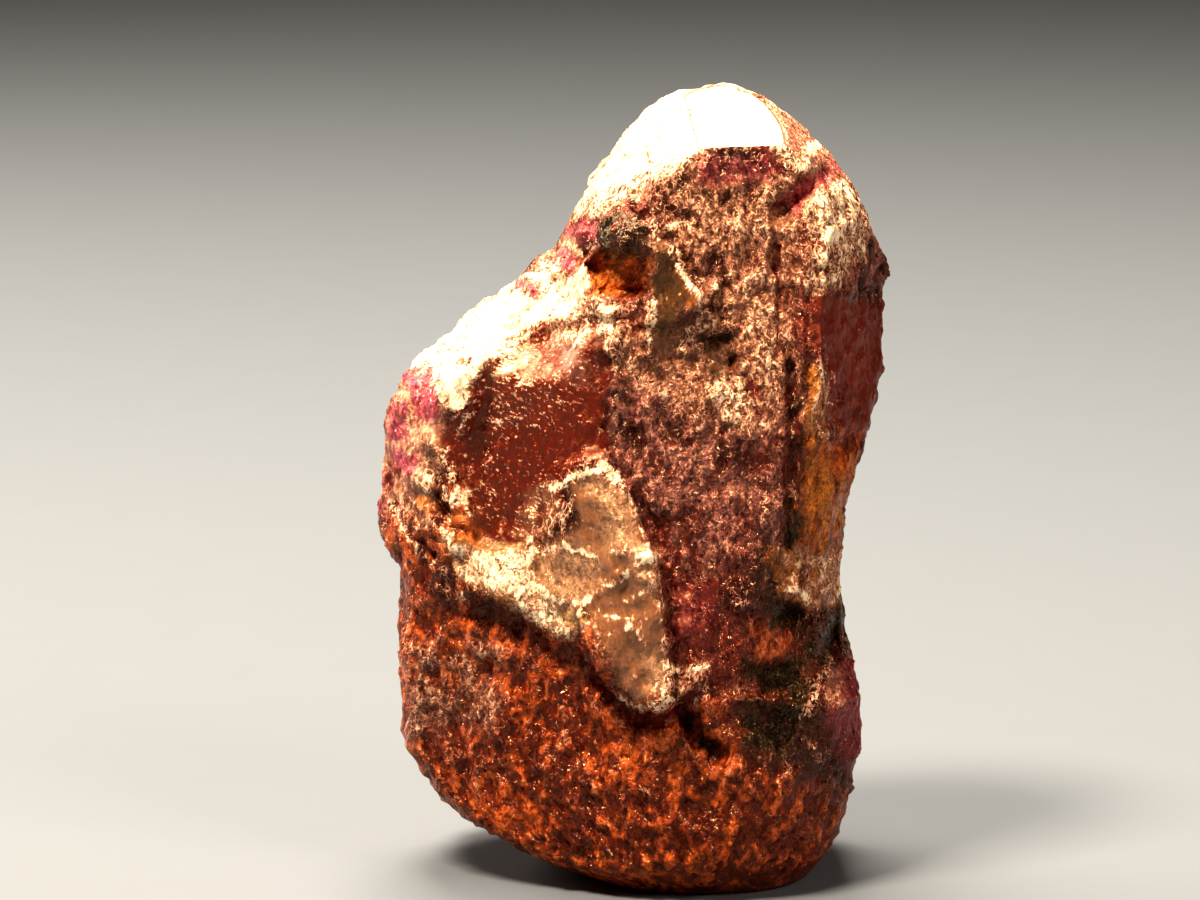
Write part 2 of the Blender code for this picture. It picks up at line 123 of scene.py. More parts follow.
# outlines that both the form and the finishes use
WINDOW = [(-3.00, 8.75), (-2.60, 9.55), (-1.4, 10.20), (-0.62, 10.3), (-0.5, 9.0), (-0.5, 7.75),
          (-1.05, 7.60), (-1.35, 7.25), (-1.35, 6.75), (-1.75, 6.10), (-2.3, 5.95), (-2.9, 6.1),
          (-3.2, 7.3)]
RIGHT_WINDOW = [(3.45, 10.8), (4.9, 10.6), (4.9, 9.2), (4.3, 7.9), (3.7, 8.6)]
TOP_FACE = [(0.95, 14.6), (1.00, 13.36), (3.02, 13.36), (3.05, 14.1), (2.6, 14.74), (1.3, 14.84)]
LEFT_BASE = [(-4.3, 4.3), (-2.4, 4.2), (-2.5, 2.6), (-4.2, 2.4)]
# and lines that have both a ridge and a gilt rim: the net on the left rim, the column's rib, and
# the chip's rib and foot
NET_DIAGONAL = [(-3.77, 8.03), (-3.56, 7.61), (-3.17, 7.09), (-2.90, 6.56)]
NET_CROSSING = [(-4.30, 7.35), (-3.77, 7.35), (-3.37, 7.01), (-3.24, 6.56)]
NET_SHORT = [(-3.71, 6.56), (-3.30, 6.09)]
NET_OUTER = [(-4.50, 6.75), (-4.24, 6.28), (-3.84, 5.88)]
NET_LOWEST = [(-3.77, 5.75), (-3.56, 5.41), (-3.17, 5.02)]
COLUMN_RIB = [(2.59, 8.25), (2.59, 6.35)]
CHIP_RIB = [(-1.04, 4.85), (-0.3, 5.4), (0.37, 5.83)]
CHIP_FOOT = [(-0.25, 3.14), (0.2, 3.02), (0.6, 2.92)]

# sunken fields of a face: height, width of the edge, corners
Field = namedtuple("Field", "height edge corners")
FIELDS = {
    "front": [
        Field(-0.22, 0.35, WINDOW),
        Field(-0.62, 0.22, [(-0.82, 11.36), (-0.50, 11.50), (0.36, 11.46), (0.36, 10.88), (0.1, 10.74),
                            (-0.55, 10.78)]),
        Field(-0.12, 0.30, [(-0.7, 10.9), (0.3, 10.8), (0.3, 10.1), (-0.5, 10.2)]),
    ],
    "right": [
        Field(-0.18, 0.25, [(0.7, 6.2), (2.2, 6.6), (2.4, 9.6), (1.2, 11.0)]),
    ],
    "back": [
        Field(-0.26, 0.25, [(-3.2, 8.4), (-1.4, 8.0), (-0.8, 10.6), (-1.6, 12.2), (-3.0, 11.4)]),
        Field(-0.22, 0.25, [(0.6, 3.0), (2.6, 3.6), (3.0, 5.4), (1.2, 5.9)]),
    ],
    "left": [
        Field(-0.18, 0.25, [(-2.2, 2.4), (-0.6, 2.0), (-0.4, 4.4), (-1.8, 5.0)]),
    ],
}

# ridges, and grooves where the height is below 0; a ridge thinner than THIN has a sharp crest,
# whose slopes are cut off below CREST_CUT of its height
Ridge = namedtuple("Ridge", "height width line")
THIN = 0.15
CREST_CUT = 0.05
RIDGES = {
    "front": [
        Ridge(0.20, 0.12, [(0.52, 11.5), (0.42, 11.1), (0.46, 10.6), (0.34, 10.2), (0.36, 9.7)]),
        Ridge(-0.36, 0.20, [(3.95, 13.25), (3.3, 12.75), (2.81, 12.37)]),
        Ridge(-0.10, 0.30, [(-3.35, 5.0), (-2.7, 4.68), (-2.0, 4.45), (-1.3, 4.0)]),
        Ridge(-0.26, 0.20, [(-0.6, 3.45), (0.2, 2.8), (0.95, 2.75)]),
        Ridge(-0.36, 0.15, [(0.9, 3.0), (1.2, 2.55), (1.6, 2.1)]),
        Ridge(-0.22, 0.30, [(-1.7, 11.35), (-1.1, 10.75), (-0.7, 10.35)]),
        Ridge(0.26, 0.12, [(3.45, 4.7), (3.6, 4.0), (3.95, 3.1)]),
        # the finer ones: small ridges by the hollow, grooves and a rib along the column, slits
        Ridge(0.14, 0.10, [(0.27, 12.2), (0.65, 12.0)]),
        Ridge(0.14, 0.09, [(-0.5, 10.4), (-0.2, 10.25), (-0.3, 9.65)]),
        Ridge(-0.10, 0.07, [(2.74, 11.6), (2.74, 9.9)]),
        Ridge(-0.10, 0.07, [(3.30, 10.3), (3.32, 8.8)]),
        Ridge(0.09, 0.07, COLUMN_RIB),
        Ridge(-0.10, 0.07, [(-3.85, 3.4), (-3.75, 2.9)]),
        Ridge(0.10, 0.08, [(0.18, 5.46), (0.52, 5.44)]),
        Ridge(0.12, 0.07, CHIP_RIB),
        Ridge(0.14, 0.09, [(-0.25, 6.02), (0.45, 5.8)]),
        Ridge(0.10, 0.06, [(-1.7, 6.3), (-1.93, 5.85), (-1.85, 5.4)]),
        Ridge(0.12, 0.08, CHIP_FOOT),
        Ridge(0.12, 0.07, [(3.28, 10.3), (3.22, 8.6), (3.14, 6.2)]),
        Ridge(-0.14, 0.09, [(3.05, 9.4), (2.98, 6.1)]),
        Ridge(0.10, 0.08, [(3.5, 4.9), (3.62, 4.3), (3.85, 3.7)]),
        # the net of thin ridges on the left rim
        Ridge(0.16, 0.14, NET_DIAGONAL),
        Ridge(0.14, 0.12, NET_CROSSING),
        Ridge(0.12, 0.12, NET_SHORT),
        Ridge(0.14, 0.14, NET_OUTER),
        Ridge(0.14, 0.14, NET_LOWEST),
        Ridge(0.12, 0.14, [(-3.60, 8.70), (-3.25, 8.60), (-2.90, 9.00)]),
    ],
    "right": [
        Ridge(0.12, 0.18, [(1.6, 4.0), (1.9, 7.0), (1.5, 10.5)]),
        Ridge(-0.16, 0.20, [(0.8, 2.2), (2.0, 3.6), (2.6, 5.4)]),
    ],
    "back": [
        Ridge(0.22, 0.18, [(-0.2, 12.8), (-0.6, 10.6), (-0.3, 8.6)]),
        Ridge(-0.22, 0.22, [(-3.2, 4.6), (-1.6, 3.7), (0.4, 3.9)]),
    ],
    "left": [
        Ridge(0.12, 0.18, [(-2.2, 9.4), (-1.2, 8.2), (-0.8, 6.6)]),
    ],
}

# ledges: height, and how wide they fall away to the left and to the right of their line's run
Step = namedtuple("Step", "height left right line")
STEPS = {
    "front": [
        Step(0.30, 0.75, 0.16, [(-3.50, 5.75), (-3.05, 5.22), (-2.45, 5.08), (-1.9, 4.80),
                                (-1.25, 4.42), (-0.95, 4.1)]),
        Step(0.16, 0.45, 0.08, [(-0.65, 11.60), (-0.2, 11.62), (0.36, 11.5)]),
        Step(0.08, 0.18, 0.60, [(-0.55, 10.35), (-1.4, 10.3), (-2.72, 9.72), (-3.1, 8.75)]),
        Step(0.16, 0.40, 0.10, [(0.5, 3.1), (1.0, 3.3), (1.5, 3.65)]),
        Step(0.36, 0.07, 0.55, [(0.34, 12.05), (0.70, 11.50), (1.36, 10.64)]),
        Step(0.20, 0.07, 0.45, [(1.36, 10.64), (1.05, 10.40), (0.70, 10.30)]),
        Step(0.18, 0.15, 0.30, [(1.8, 3.2), (3.3, 3.15)]),
    ],
    "right": [
        Step(0.12, 0.80, 0.16, [(0.2, 11.5), (1.8, 12.0)]),
    ],
    "back": [
        Step(0.32, 0.14, 1.00, [(2.8, 8.7), (0.8, 7.7), (-1.0, 7.9), (-3.4, 6.9)]),
        Step(0.24, 0.80, 0.14, [(-2.4, 2.2), (-0.6, 1.8), (1.6, 2.3)]),
    ],
    "left": [
        Step(0.12, 0.80, 0.16, [(-2.2, 6.0), (-0.9, 5.6), (0.6, 6.1)]),
    ],
}

# pits, and knobs where the height is above 0; lean is in degrees
Pit = namedtuple("Pit", "height centre size lean")
PITS = {
    "front": [
        Pit(-0.24, (1.65, 9.93), (0.34, 0.14), 0),
        Pit(-0.24, (1.83, 9.50), (0.14, 0.17), 0),
        Pit(-0.14, (2.10, 9.20), (0.16, 0.10), 0),
        Pit(-0.30, (3.40, 4.20), (0.90, 1.10), 0),
        Pit(-0.45, (3.00, 4.72), (0.26, 0.20), 0),
        Pit(-0.60, (3.80, 4.25), (0.20, 0.55), -8),
        Pit(-0.28, (2.70, 3.60), (0.50, 0.26), 0),
        Pit(-0.24, (2.70, 2.75), (0.50, 0.26), 0),
        Pit(-0.14, (-2.64, 3.78), (0.24, 0.20), 0),
        Pit(-0.10, (0.65, 1.07), (0.18, 0.12), 0),
        Pit(-0.12, (-3.07, 9.55), (0.08, 0.08), 0),
        Pit(0.14, (-0.12, 11.80), (0.45, 0.20), -8),
        Pit(-0.16, (-4.05, 6.95), (0.13, 0.22), -20),
        Pit(-0.14, (-3.60, 7.10), (0.12, 0.20), 10),
        Pit(-0.12, (-3.80, 7.75), (0.16, 0.12), 0),
        Pit(-0.14, (-3.40, 6.70), (0.20, 0.12), -30),
        Pit(-0.12, (-4.35, 7.40), (0.10, 0.16), 0),
        Pit(-0.12, (4.10, 11.60), (0.16, 0.22), 0),
        Pit(-0.12, (3.60, 11.30), (0.20, 0.12), 20),
    ],
    "right": [
        Pit(-0.20, (1.2, 12.6), (0.6, 0.35), 20),
        Pit(-0.18, (-1.2, 1.6), (0.7, 0.35), -35),
    ],
    "back": [
        Pit(-0.26, (1.2, 10.2), (0.5, 0.8), 20),
        Pit(-0.22, (-1.8, 5.9), (0.6, 0.4), -15),
    ],
    "left": [
        Pit(-0.20, (-1.2, 10.2), (0.5, 0.35), 10),
        Pit(-0.16, (0.9, 3.2), (0.5, 0.25), -50),
    ],
}

# the pale chip below the window: outline, its flats as (height, point, rise across, rise up), the
# most that it stands out and the width of its edge
CHIP = [(-1.42, 7.3), (-1.05, 7.58), (-0.48, 7.72), (-0.1, 7.1), (0.36, 6.2), (0.56, 5.2),
        (0.66, 4.3), (0.72, 3.05), (0.2, 2.98), (-0.4, 3.35), (-0.75, 4.1), (-1.15, 4.85),
        (-1.9, 5.25), (-1.98, 5.8), (-1.8, 6.1), (-1.35, 6.75)]
CHIP_FLATS = [
    (0.10, (-1.0, 7.7), 0.05, -0.16),
    (0.20, (-1.2, 5.5), 0.30, -0.06),
    (0.24, (0.4, 3.0), -0.10, 0.12),
]
CHIP_MOST = 0.45
CHIP_EDGE = 0.16

# where the front's wear is slighter: how much is kept off, edge, corners
CALM = [
    (0.97, 0.30, TOP_FACE),
    (0.55, 0.30, [(-3.0, 9.0), (-2.6, 9.7), (-1.4, 10.2), (-0.6, 10.2), (-0.6, 8.0), (-1.5, 7.5),
                  (-2.2, 6.4), (-3.2, 6.4)]),
    (0.55, 0.30, RIGHT_WINDOW),
    (0.10, 0.30, [(-1.2, 7.3), (-0.2, 7.3), (0.6, 5.0), (0.6, 3.2), (-0.4, 3.6), (-0.9, 5.6)]),
    (0.50, 0.20, [(0.5, 11.5), (1.2, 10.6), (0.8, 9.8), (0.45, 9.8)]),
]

# wear of the skin, each as height, size, seed: slanted flats, then creases as of crumpled foil,
# then broad waves, then upright streaks. A flow below 1 draws the wear out along that axis.
CHIPPING = [(0.12, 1.5, 3), (0.06, 0.62, 6), (0.06, 0.27, 7), (0.04, 0.14, 8)]
CHIPPING_FLOW = (1.0, 1.0, 0.75)
CHIPPING_SOFT = 0.22
CREASES = [(0.11, 0.55, 21), (0.07, 0.24, 22)]
CREASE_FLOW = (1.0, 1.0, 0.55)
CREASE_LEVEL = 0.35
WAVE = (0.05, 1.9, 1)
STREAK = (0.035, 0.24, 4)
STREAK_LENGTH = 8.0
# heights between which the streaks set in, the foot's calm ends, and the top's begins
STREAK_FROM = (5.0, 6.5)
FOOT_BLEND = (0.1, 0.8)
TOP_BLEND = (12.5, 14.2)
TOP_CALM = 0.5
# how the layout of the relief wanders: how far, size, seeds for across and for up
WANDER = [(0.06, 0.7, (11, 13)), (0.03, 0.22, (12, 14))]

# points round the stone, closer together at the front, and rows from foot to top
COLUMNS = 384
ROWS = 259
FRONT_CROWDING = 0.42
FLAT_ROUNDS = 2

# cells after which the random lattices of the waves and of the chipping repeat
LATTICE = 32
CELLS = 16


def ramp(value, low, high):
    """0 below low and 1 above high, with a smooth rise between."""
    part = np.clip((value - low) / (high - low), 0, 1)
    return part * part * (3 - 2 * part)


def spline(rows, at):
    """Catmull-Rom curve through the rows, read at row numbers."""
    last = len(rows) - 1
    start = np.clip(np.floor(at).astype(int), 0, last - 1)
    part = (at - start)[:, None]
    before = rows[np.maximum(start - 1, 0)]
    here = rows[start]
    there = rows[start + 1]
    after = rows[np.minimum(start + 2, last)]
    return 0.5 * (
        2 * here
        + (there - before) * part
        + (2 * before - 5 * here + 4 * there - after) * part**2
        + (3 * here - before - 3 * there + after) * part**3
    )


def rough_form(around, level):
    """Grid of points on the stack of squared ovals: each row is one section, which is
    x = middle + half width * reach * cos(around), y = middle + half depth * reach * sin(around),
    with reach = (|cos|^s + |sin|^s)^(-1/s)."""
    height, left, right, front, back = spline(SECTIONS, level).T[..., None]
    across = np.cos(around)
    deep = np.sin(around)
    reach = (np.abs(across) ** SQUARENESS + np.abs(deep) ** SQUARENESS) ** (-1 / SQUARENESS)
    x = (left + right) / 2 + (right - left) / 2 * reach * across
    y = (front + back) / 2 + (back - front) / 2 * reach * deep
    return np.stack([x, y, height + 0 * x], axis=-1)


def direction(turn, tilt):
    """Unit direction, turned from the front to the right and tilted up, in degrees."""
    turn = math.radians(turn)
    tilt = math.radians(tilt)
    level = math.cos(tilt)
    return np.array([math.sin(turn) * level, -math.cos(turn) * level, math.sin(tilt)])


def lapped(points, flat):
    """Points that stand out of the flat's plane are laid on it, within its reach. They move by
    half of (out + sqrt(out^2 + soft^2 / 4)), which is 0 well inside and all of out well outside."""
    facing = direction(flat.turn, flat.tilt)
    offset = points - np.array(flat.point)
    out = offset @ facing
    over = 0.5 * (out + np.sqrt(out**2 + flat.soft**2 / 4))
    far = ramp(np.linalg.norm(offset, axis=-1), flat.reach, flat.reach * REACH_FADE)
    return points - (over * (1 - far))[..., None] * facing


def outward(points):
    """Unit normals of the grid: along its rows, which close on themselves, crossed with up it."""
    sideways = np.roll(points, -1, axis=1) - np.roll(points, 1, axis=1)
    upward = np.gradient(points, axis=0)
    normal = np.cross(sideways, upward)
    return normal / np.maximum(np.linalg.norm(normal, axis=-1, keepdims=True), TINY)


def seen(points, view):
    """Across and up of the points for the eye before that side, and the direction to the eye:
    offsets from the centre grow by EYE_AWAY / (EYE_AWAY - how far they stand towards the eye)."""
    eye = direction(view.turn, view.tilt)
    turn = math.radians(view.turn)
    right = np.array([math.cos(turn), math.sin(turn), 0.0])
    centre = np.array(EYE_CENTRE)
    offset = points - centre
    grow = EYE_AWAY / (EYE_AWAY - offset @ eye)
    up = np.cross(eye, right)
    across = centre @ right + offset @ right * grow
    return across, centre @ up + offset @ up * grow, eye


def waves(points, size, seed):
    """Smooth random lumps about that size, from -1 to 1: the values of a random lattice, blended
    from corner to corner by 6 part^5 - 15 part^4 + 10 part^3."""
    lattice = np.random.default_rng(seed).random((LATTICE,) * 3) * 2 - 1
    place = points / size + LATTICE / 2
    low = np.floor(place).astype(int)
    part = place - low
    part = part**3 * (part * (part * 6 - 15) + 10)
    total = np.zeros(points.shape[:-1])
    for corner in np.ndindex(2, 2, 2):
        share = np.prod(np.where(corner, part, 1 - part), axis=-1)
        key = (low + corner) % LATTICE
        total += share * lattice[key[..., 0], key[..., 1], key[..., 2]]
    return total


def chipping(points, size, seed):
    """Small flats of random slant about that size, which meet in soft creases: each point takes
    the slant of its nearest scattered seed, eased into the second nearest's at the border."""
    random = np.random.default_rng(seed)
    jitter = random.random((CELLS, CELLS, CELLS, 3))
    slant = random.normal(size=jitter.shape)
    slant /= np.linalg.norm(slant, axis=-1, keepdims=True)
    place = points / size + CELLS / 2
    low = np.floor(place).astype(int)
    near = np.full(points.shape[:-1], np.inf)
    second = near.copy()
    near_rise = np.zeros(points.shape[:-1])
    second_rise = near_rise.copy()
    for step in np.ndindex(3, 3, 3):
        cell = low + step - 1
        key = cell % CELLS
        key = (key[..., 0], key[..., 1], key[..., 2])
        offset = place - cell - jitter[key]
        away = np.linalg.norm(offset, axis=-1)
        rise = (offset * slant[key]).sum(-1)
        first = away < near
        runner = ~first & (away < second)
        second_rise = np.where(first, near_rise, np.where(runner, rise, second_rise))
        second = np.where(first, near, np.where(runner, away, second))
        near_rise = np.where(first, rise, near_rise)
        near = np.where(first, away, near)
    own = 0.5 + 0.5 * ramp(second - near, 0, CHIPPING_SOFT)
    return near_rise * own + second_rise * (1 - own)


def from_line(across, up, line):
    """Distance from the line, and on which side of its run: 1 for the left, -1 for the right."""
    best = np.full(across.shape, np.inf)
    side = np.zeros(across.shape)
    for (x0, y0), (x1, y1) in zip(line[:-1], line[1:]):
        run = math.hypot(x1 - x0, y1 - y0)
        ux = (x1 - x0) / run
        uy = (y1 - y0) / run
        along = np.clip((across - x0) * ux + (up - y0) * uy, 0, run)
        dx = across - (x0 + along * ux)
        dy = up - (y0 + along * uy)
        away = np.hypot(dx, dy)
        side = np.where(away < best, np.sign(ux * dy - uy * dx), side)
        best = np.minimum(best, away)
    return best, side


def within(across, up, corners, edge):
    """1 inside the outline and 0 outside, fading over the edge's width. A point is inside where
    the outline's sides cross its level an odd number of times to the right of it."""
    closed = corners + corners[:1]
    away, _ = from_line(across, up, closed)
    inner = np.zeros(across.shape, bool)
    for (x0, y0), (x1, y1) in zip(closed[:-1], closed[1:]):
        if y0 != y1:
            level = (up >= min(y0, y1)) & (up < max(y0, y1))
            inner ^= level & (across < x0 + (up - y0) / (y1 - y0) * (x1 - x0))
    return ramp(np.where(inner, away, -away), -edge / 2, edge / 2)


def painted(across, up, patches):
    """The strongest of the soft-edged patches at each place: strength, edge and corners of each."""
    return np.maximum.reduce([
        strength * within(across, up, corners, edge) for strength, edge, corners in patches])


def bell(across, up, centre, size, lean):
    """A leaning bell, 1 at its centre: exp(-(along/long)^2 - (cross/wide)^2)."""
    lean = math.radians(lean)
    dx = across - centre[0]
    dy = up - centre[1]
    long = dx * math.cos(lean) + dy * math.sin(lean)
    wide = dy * math.cos(lean) - dx * math.sin(lean)
    return np.exp(-((long / size[0]) ** 2) - (wide / size[1]) ** 2)


def along(across, up, line, width):
    """A soft band along a line: exp(-(distance/width)^2)."""
    away, _ = from_line(across, up, line)
    return np.exp(-((away / width) ** 2))


def creased(across, up, line, width):
    """A band with a sharp crest along a line: exp(-distance/width), with the far rest cut off."""
    away, _ = from_line(across, up, line)
    return np.maximum(np.exp(-away / width) - CREST_CUT, 0) / (1 - CREST_CUT)


def chip_height(across, up):
    """The pale chip: the lowest of its flats, within its outline."""
    flats = [
        high + rise_x * (across - x) + rise_y * (up - y)
        for high, (x, y), rise_x, rise_y in CHIP_FLATS]
    return within(across, up, CHIP, CHIP_EDGE) * np.clip(np.minimum.reduce(flats), 0, CHIP_MOST)


def relief(side, across, up):
    """Height over one side's faces, the sum of its fields, ridges, steps and pits."""
    height = np.zeros(across.shape)
    for field in FIELDS[side]:
        height += field.height * within(across, up, field.corners, field.edge)
    for ridge in RIDGES[side]:
        shape = creased if 0 < ridge.height and ridge.width < THIN else along
        height += ridge.height * shape(across, up, ridge.line, ridge.width)
    for step in STEPS[side]:
        away, on = from_line(across, up, step.line)
        height += step.height * np.exp(-((away / np.where(on > 0, step.left, step.right)) ** 2))
    for pit in PITS[side]:
        height += pit.height * bell(across, up, pit.centre, pit.size, pit.lean)
    if side == "front":
        height += chip_height(across, up)
    return height


def wandered(points, axis):
    """A small random shift of the layout, across for axis 0 and up for axis 1, which breaks up
    straight borders."""
    return sum(far * waves(points, size, seeds[axis]) for far, size, seeds in WANDER)


def stone_grid():
    """The whole surface on a grid of rows (sections, foot to top) by columns (around):
    sections, then flats, then relief towards each eye, then wear along the normals."""
    turned = np.arange(COLUMNS) / COLUMNS * 2 * math.pi
    around = turned - FRONT_CROWDING * np.cos(turned)
    level = np.linspace(0, len(SECTIONS) - 1, ROWS)
    points = rough_form(around, level)
    for _ in range(FLAT_ROUNDS):
        for flat in FLATS.values():
            points = lapped(points, flat)
    normal = outward(points)
    shift = wandered(points, 0), wandered(points, 1)
    carved = points.copy()
    for side, view in VIEWS.items():
        across, up, eye = seen(points, view)
        faces_eye = ramp(normal @ eye, *(FACING_FRONT if side == "front" else FACING_SIDE))
        carved += (relief(side, across + shift[0], up + shift[1]) * faces_eye)[..., None] * eye
    normal = outward(carved)
    wear = WAVE[0] * waves(carved, *WAVE[1:])
    for high, size, seed in CHIPPING:
        wear += high * chipping(carved * CHIPPING_FLOW, size, seed)
    for high, size, seed in CREASES:
        wear += high * (CREASE_LEVEL - np.abs(waves(carved * CREASE_FLOW, size, seed)))
    streak = waves(carved * (1, 1, 1 / STREAK_LENGTH), *STREAK[1:])
    wear += STREAK[0] * streak * ramp(carved[..., 2], *STREAK_FROM)
    across, up, eye = seen(carved, VIEWS["front"])
    facing = ramp(normal @ eye, *FACING_FRONT)
    wear *= (1 - painted(across, up, CALM) * facing) * ramp(carved[..., 2], *FOOT_BLEND)
    wear *= 1 - TOP_CALM * ramp(carved[..., 2], *TOP_BLEND)
    points = carved + wear[..., None] * normal
    points[..., 2] = np.maximum(points[..., 2], 0)
    return points


# ---------------------------------------------------------------------------------------------
# Zones of the skin, as fields over the surface
# ---------------------------------------------------------------------------------------------

# Patches of the front: strength, width of the edge, corners (across and up in the front view).
# Frosting, partly real frosted skin and partly painted highlight where the upper faces catch the
# light: the top edge, the shoulder, the lobe, the column, the right side, the shelf and the base.
FROST_AND_HIGHLIGHT_AT = [
    (1.50, 1.2, [(-1.2, 12.4), (-0.6, 13.3), (0.2, 14.3), (0.6, 14.9), (1.5, 14.9), (1.4, 13.6),
                 (0.9, 13.3), (0.0, 12.8), (-0.6, 12.7)]),
    (0.72, 0.5, [(-1.4, 12.5), (-0.9, 12.9), (0.4, 13.0), (0.3, 12.5), (-0.3, 12.4), (-0.9, 12.2)]),
    (1.15, 0.40, [(-4.3, 9.5), (-3.0, 10.6), (-2.2, 11.1), (-1.2, 11.8), (-0.7, 11.5), (-0.8, 10.6),
                  (-1.33, 10.30), (-2.70, 9.74), (-3.02, 8.80), (-3.3, 8.6), (-3.9, 8.9)]),
    (0.30, 0.80, [(-2.9, 9.3), (-1.2, 9.6), (-0.9, 8.4), (-2.6, 7.9)]),
    (0.80, 0.80, [(-2.9, 9.9), (-1.3, 10.4), (-0.3, 10.8), (-0.2, 9.9), (-1.3, 9.9), (-2.6, 9.1)]),
    (0.48, 0.50, [(-2.0, 7.2), (-1.4, 7.5), (-1.2, 6.7), (-1.5, 6.0), (-2.3, 6.0)]),
    (0.78, 0.4, [(2.3, 15.0), (3.7, 13.9), (4.0, 13.1), (3.5, 12.9), (2.6, 13.3)]),
    (1.40, 0.3, [(0.8, 14.4), (1.2, 15.2), (2.7, 15.2), (2.9, 14.4), (2.5, 14.5), (1.4, 14.6)]),
    (0.44, 1.2, [(0.2, 13.2), (1.2, 13.2), (3.4, 12.8), (3.4, 8.4), (2.4, 7.8), (1.4, 8.0), (-0.8, 9.2),
                 (-0.9, 10.3), (0.2, 10.8)]),
    (0.50, 1.0, [(0.6, 13.3), (3.2, 13.2), (3.2, 11.4), (1.5, 11.4), (0.7, 12.2)]),
    (0.50, 0.9, [(1.2, 10.9), (2.4, 11.2), (3.2, 9.8), (3.0, 8.4), (1.2, 8.4)]),
    (0.62, 1.0, [(1.2, 9.5), (1.9, 9.7), (2.6, 9.1), (2.3, 8.1), (1.4, 8.1)]),
    (0.95, 0.2, [(0.7, 12.15), (1.25, 12.10), (1.2, 11.95), (0.75, 11.95)]),
    (0.80, 0.6, [(3.6, 13.3), (4.2, 12.9), (4.55, 12.3), (4.3, 11.9), (3.7, 12.2)]),
    (0.74, 0.5, [(3.3, 11.7), (3.9, 11.8), (4.1, 10.9), (3.4, 10.7)]),
    (0.68, 0.5, [(3.3, 12.9), (4.4, 12.7), (4.55, 12.0), (4.2, 11.0), (3.3, 10.7)]),
    (0.56, 0.6, [(3.2, 9.6), (3.7, 9.4), (3.9, 8.0), (3.6, 7.8), (3.2, 8.2)]),
    (0.85, 0.5, [(2.8, 6.0), (4.1, 6.0), (4.1, 5.1), (3.3, 4.9), (2.8, 5.2)]),
    (0.58, 0.4, [(3.7, 4.1), (4.2, 3.9), (4.1, 3.0), (3.6, 3.1)]),
    (0.46, 0.6, [(-4.8, 9.0), (-3.9, 9.0), (-3.4, 8.8), (-3.5, 8.2), (-3.5, 6.9), (-3.7, 6.2),
                 (-4.7, 6.6)]),
    (0.90, 0.30, [(-3.55, 6.20), (-2.6, 5.95), (-1.8, 6.0), (-1.7, 5.3), (-2.1, 5.05), (-2.7, 5.25),
                  (-3.1, 5.45)]),
    (0.72, 0.40, [(-2.3, 5.3), (-1.6, 5.3), (-0.9, 4.5), (-1.3, 4.25), (-2.2, 4.75)]),
    (0.34, 0.4, [(0.5, 3.9), (1.4, 4.1), (1.6, 3.4), (0.9, 3.0), (0.5, 3.1)]),
    (0.26, 1.0, [(-0.6, 9.5), (1.3, 8.3), (2.3, 7.6), (2.4, 5.4), (0.8, 4.6), (0.6, 6.2)]),
    (0.42, 0.8, LEFT_BASE),
    (0.20, 1.0, [(-4.8, 8.0), (4.8, 8.0), (4.8, 1.0), (-4.8, 1.0)]),
]
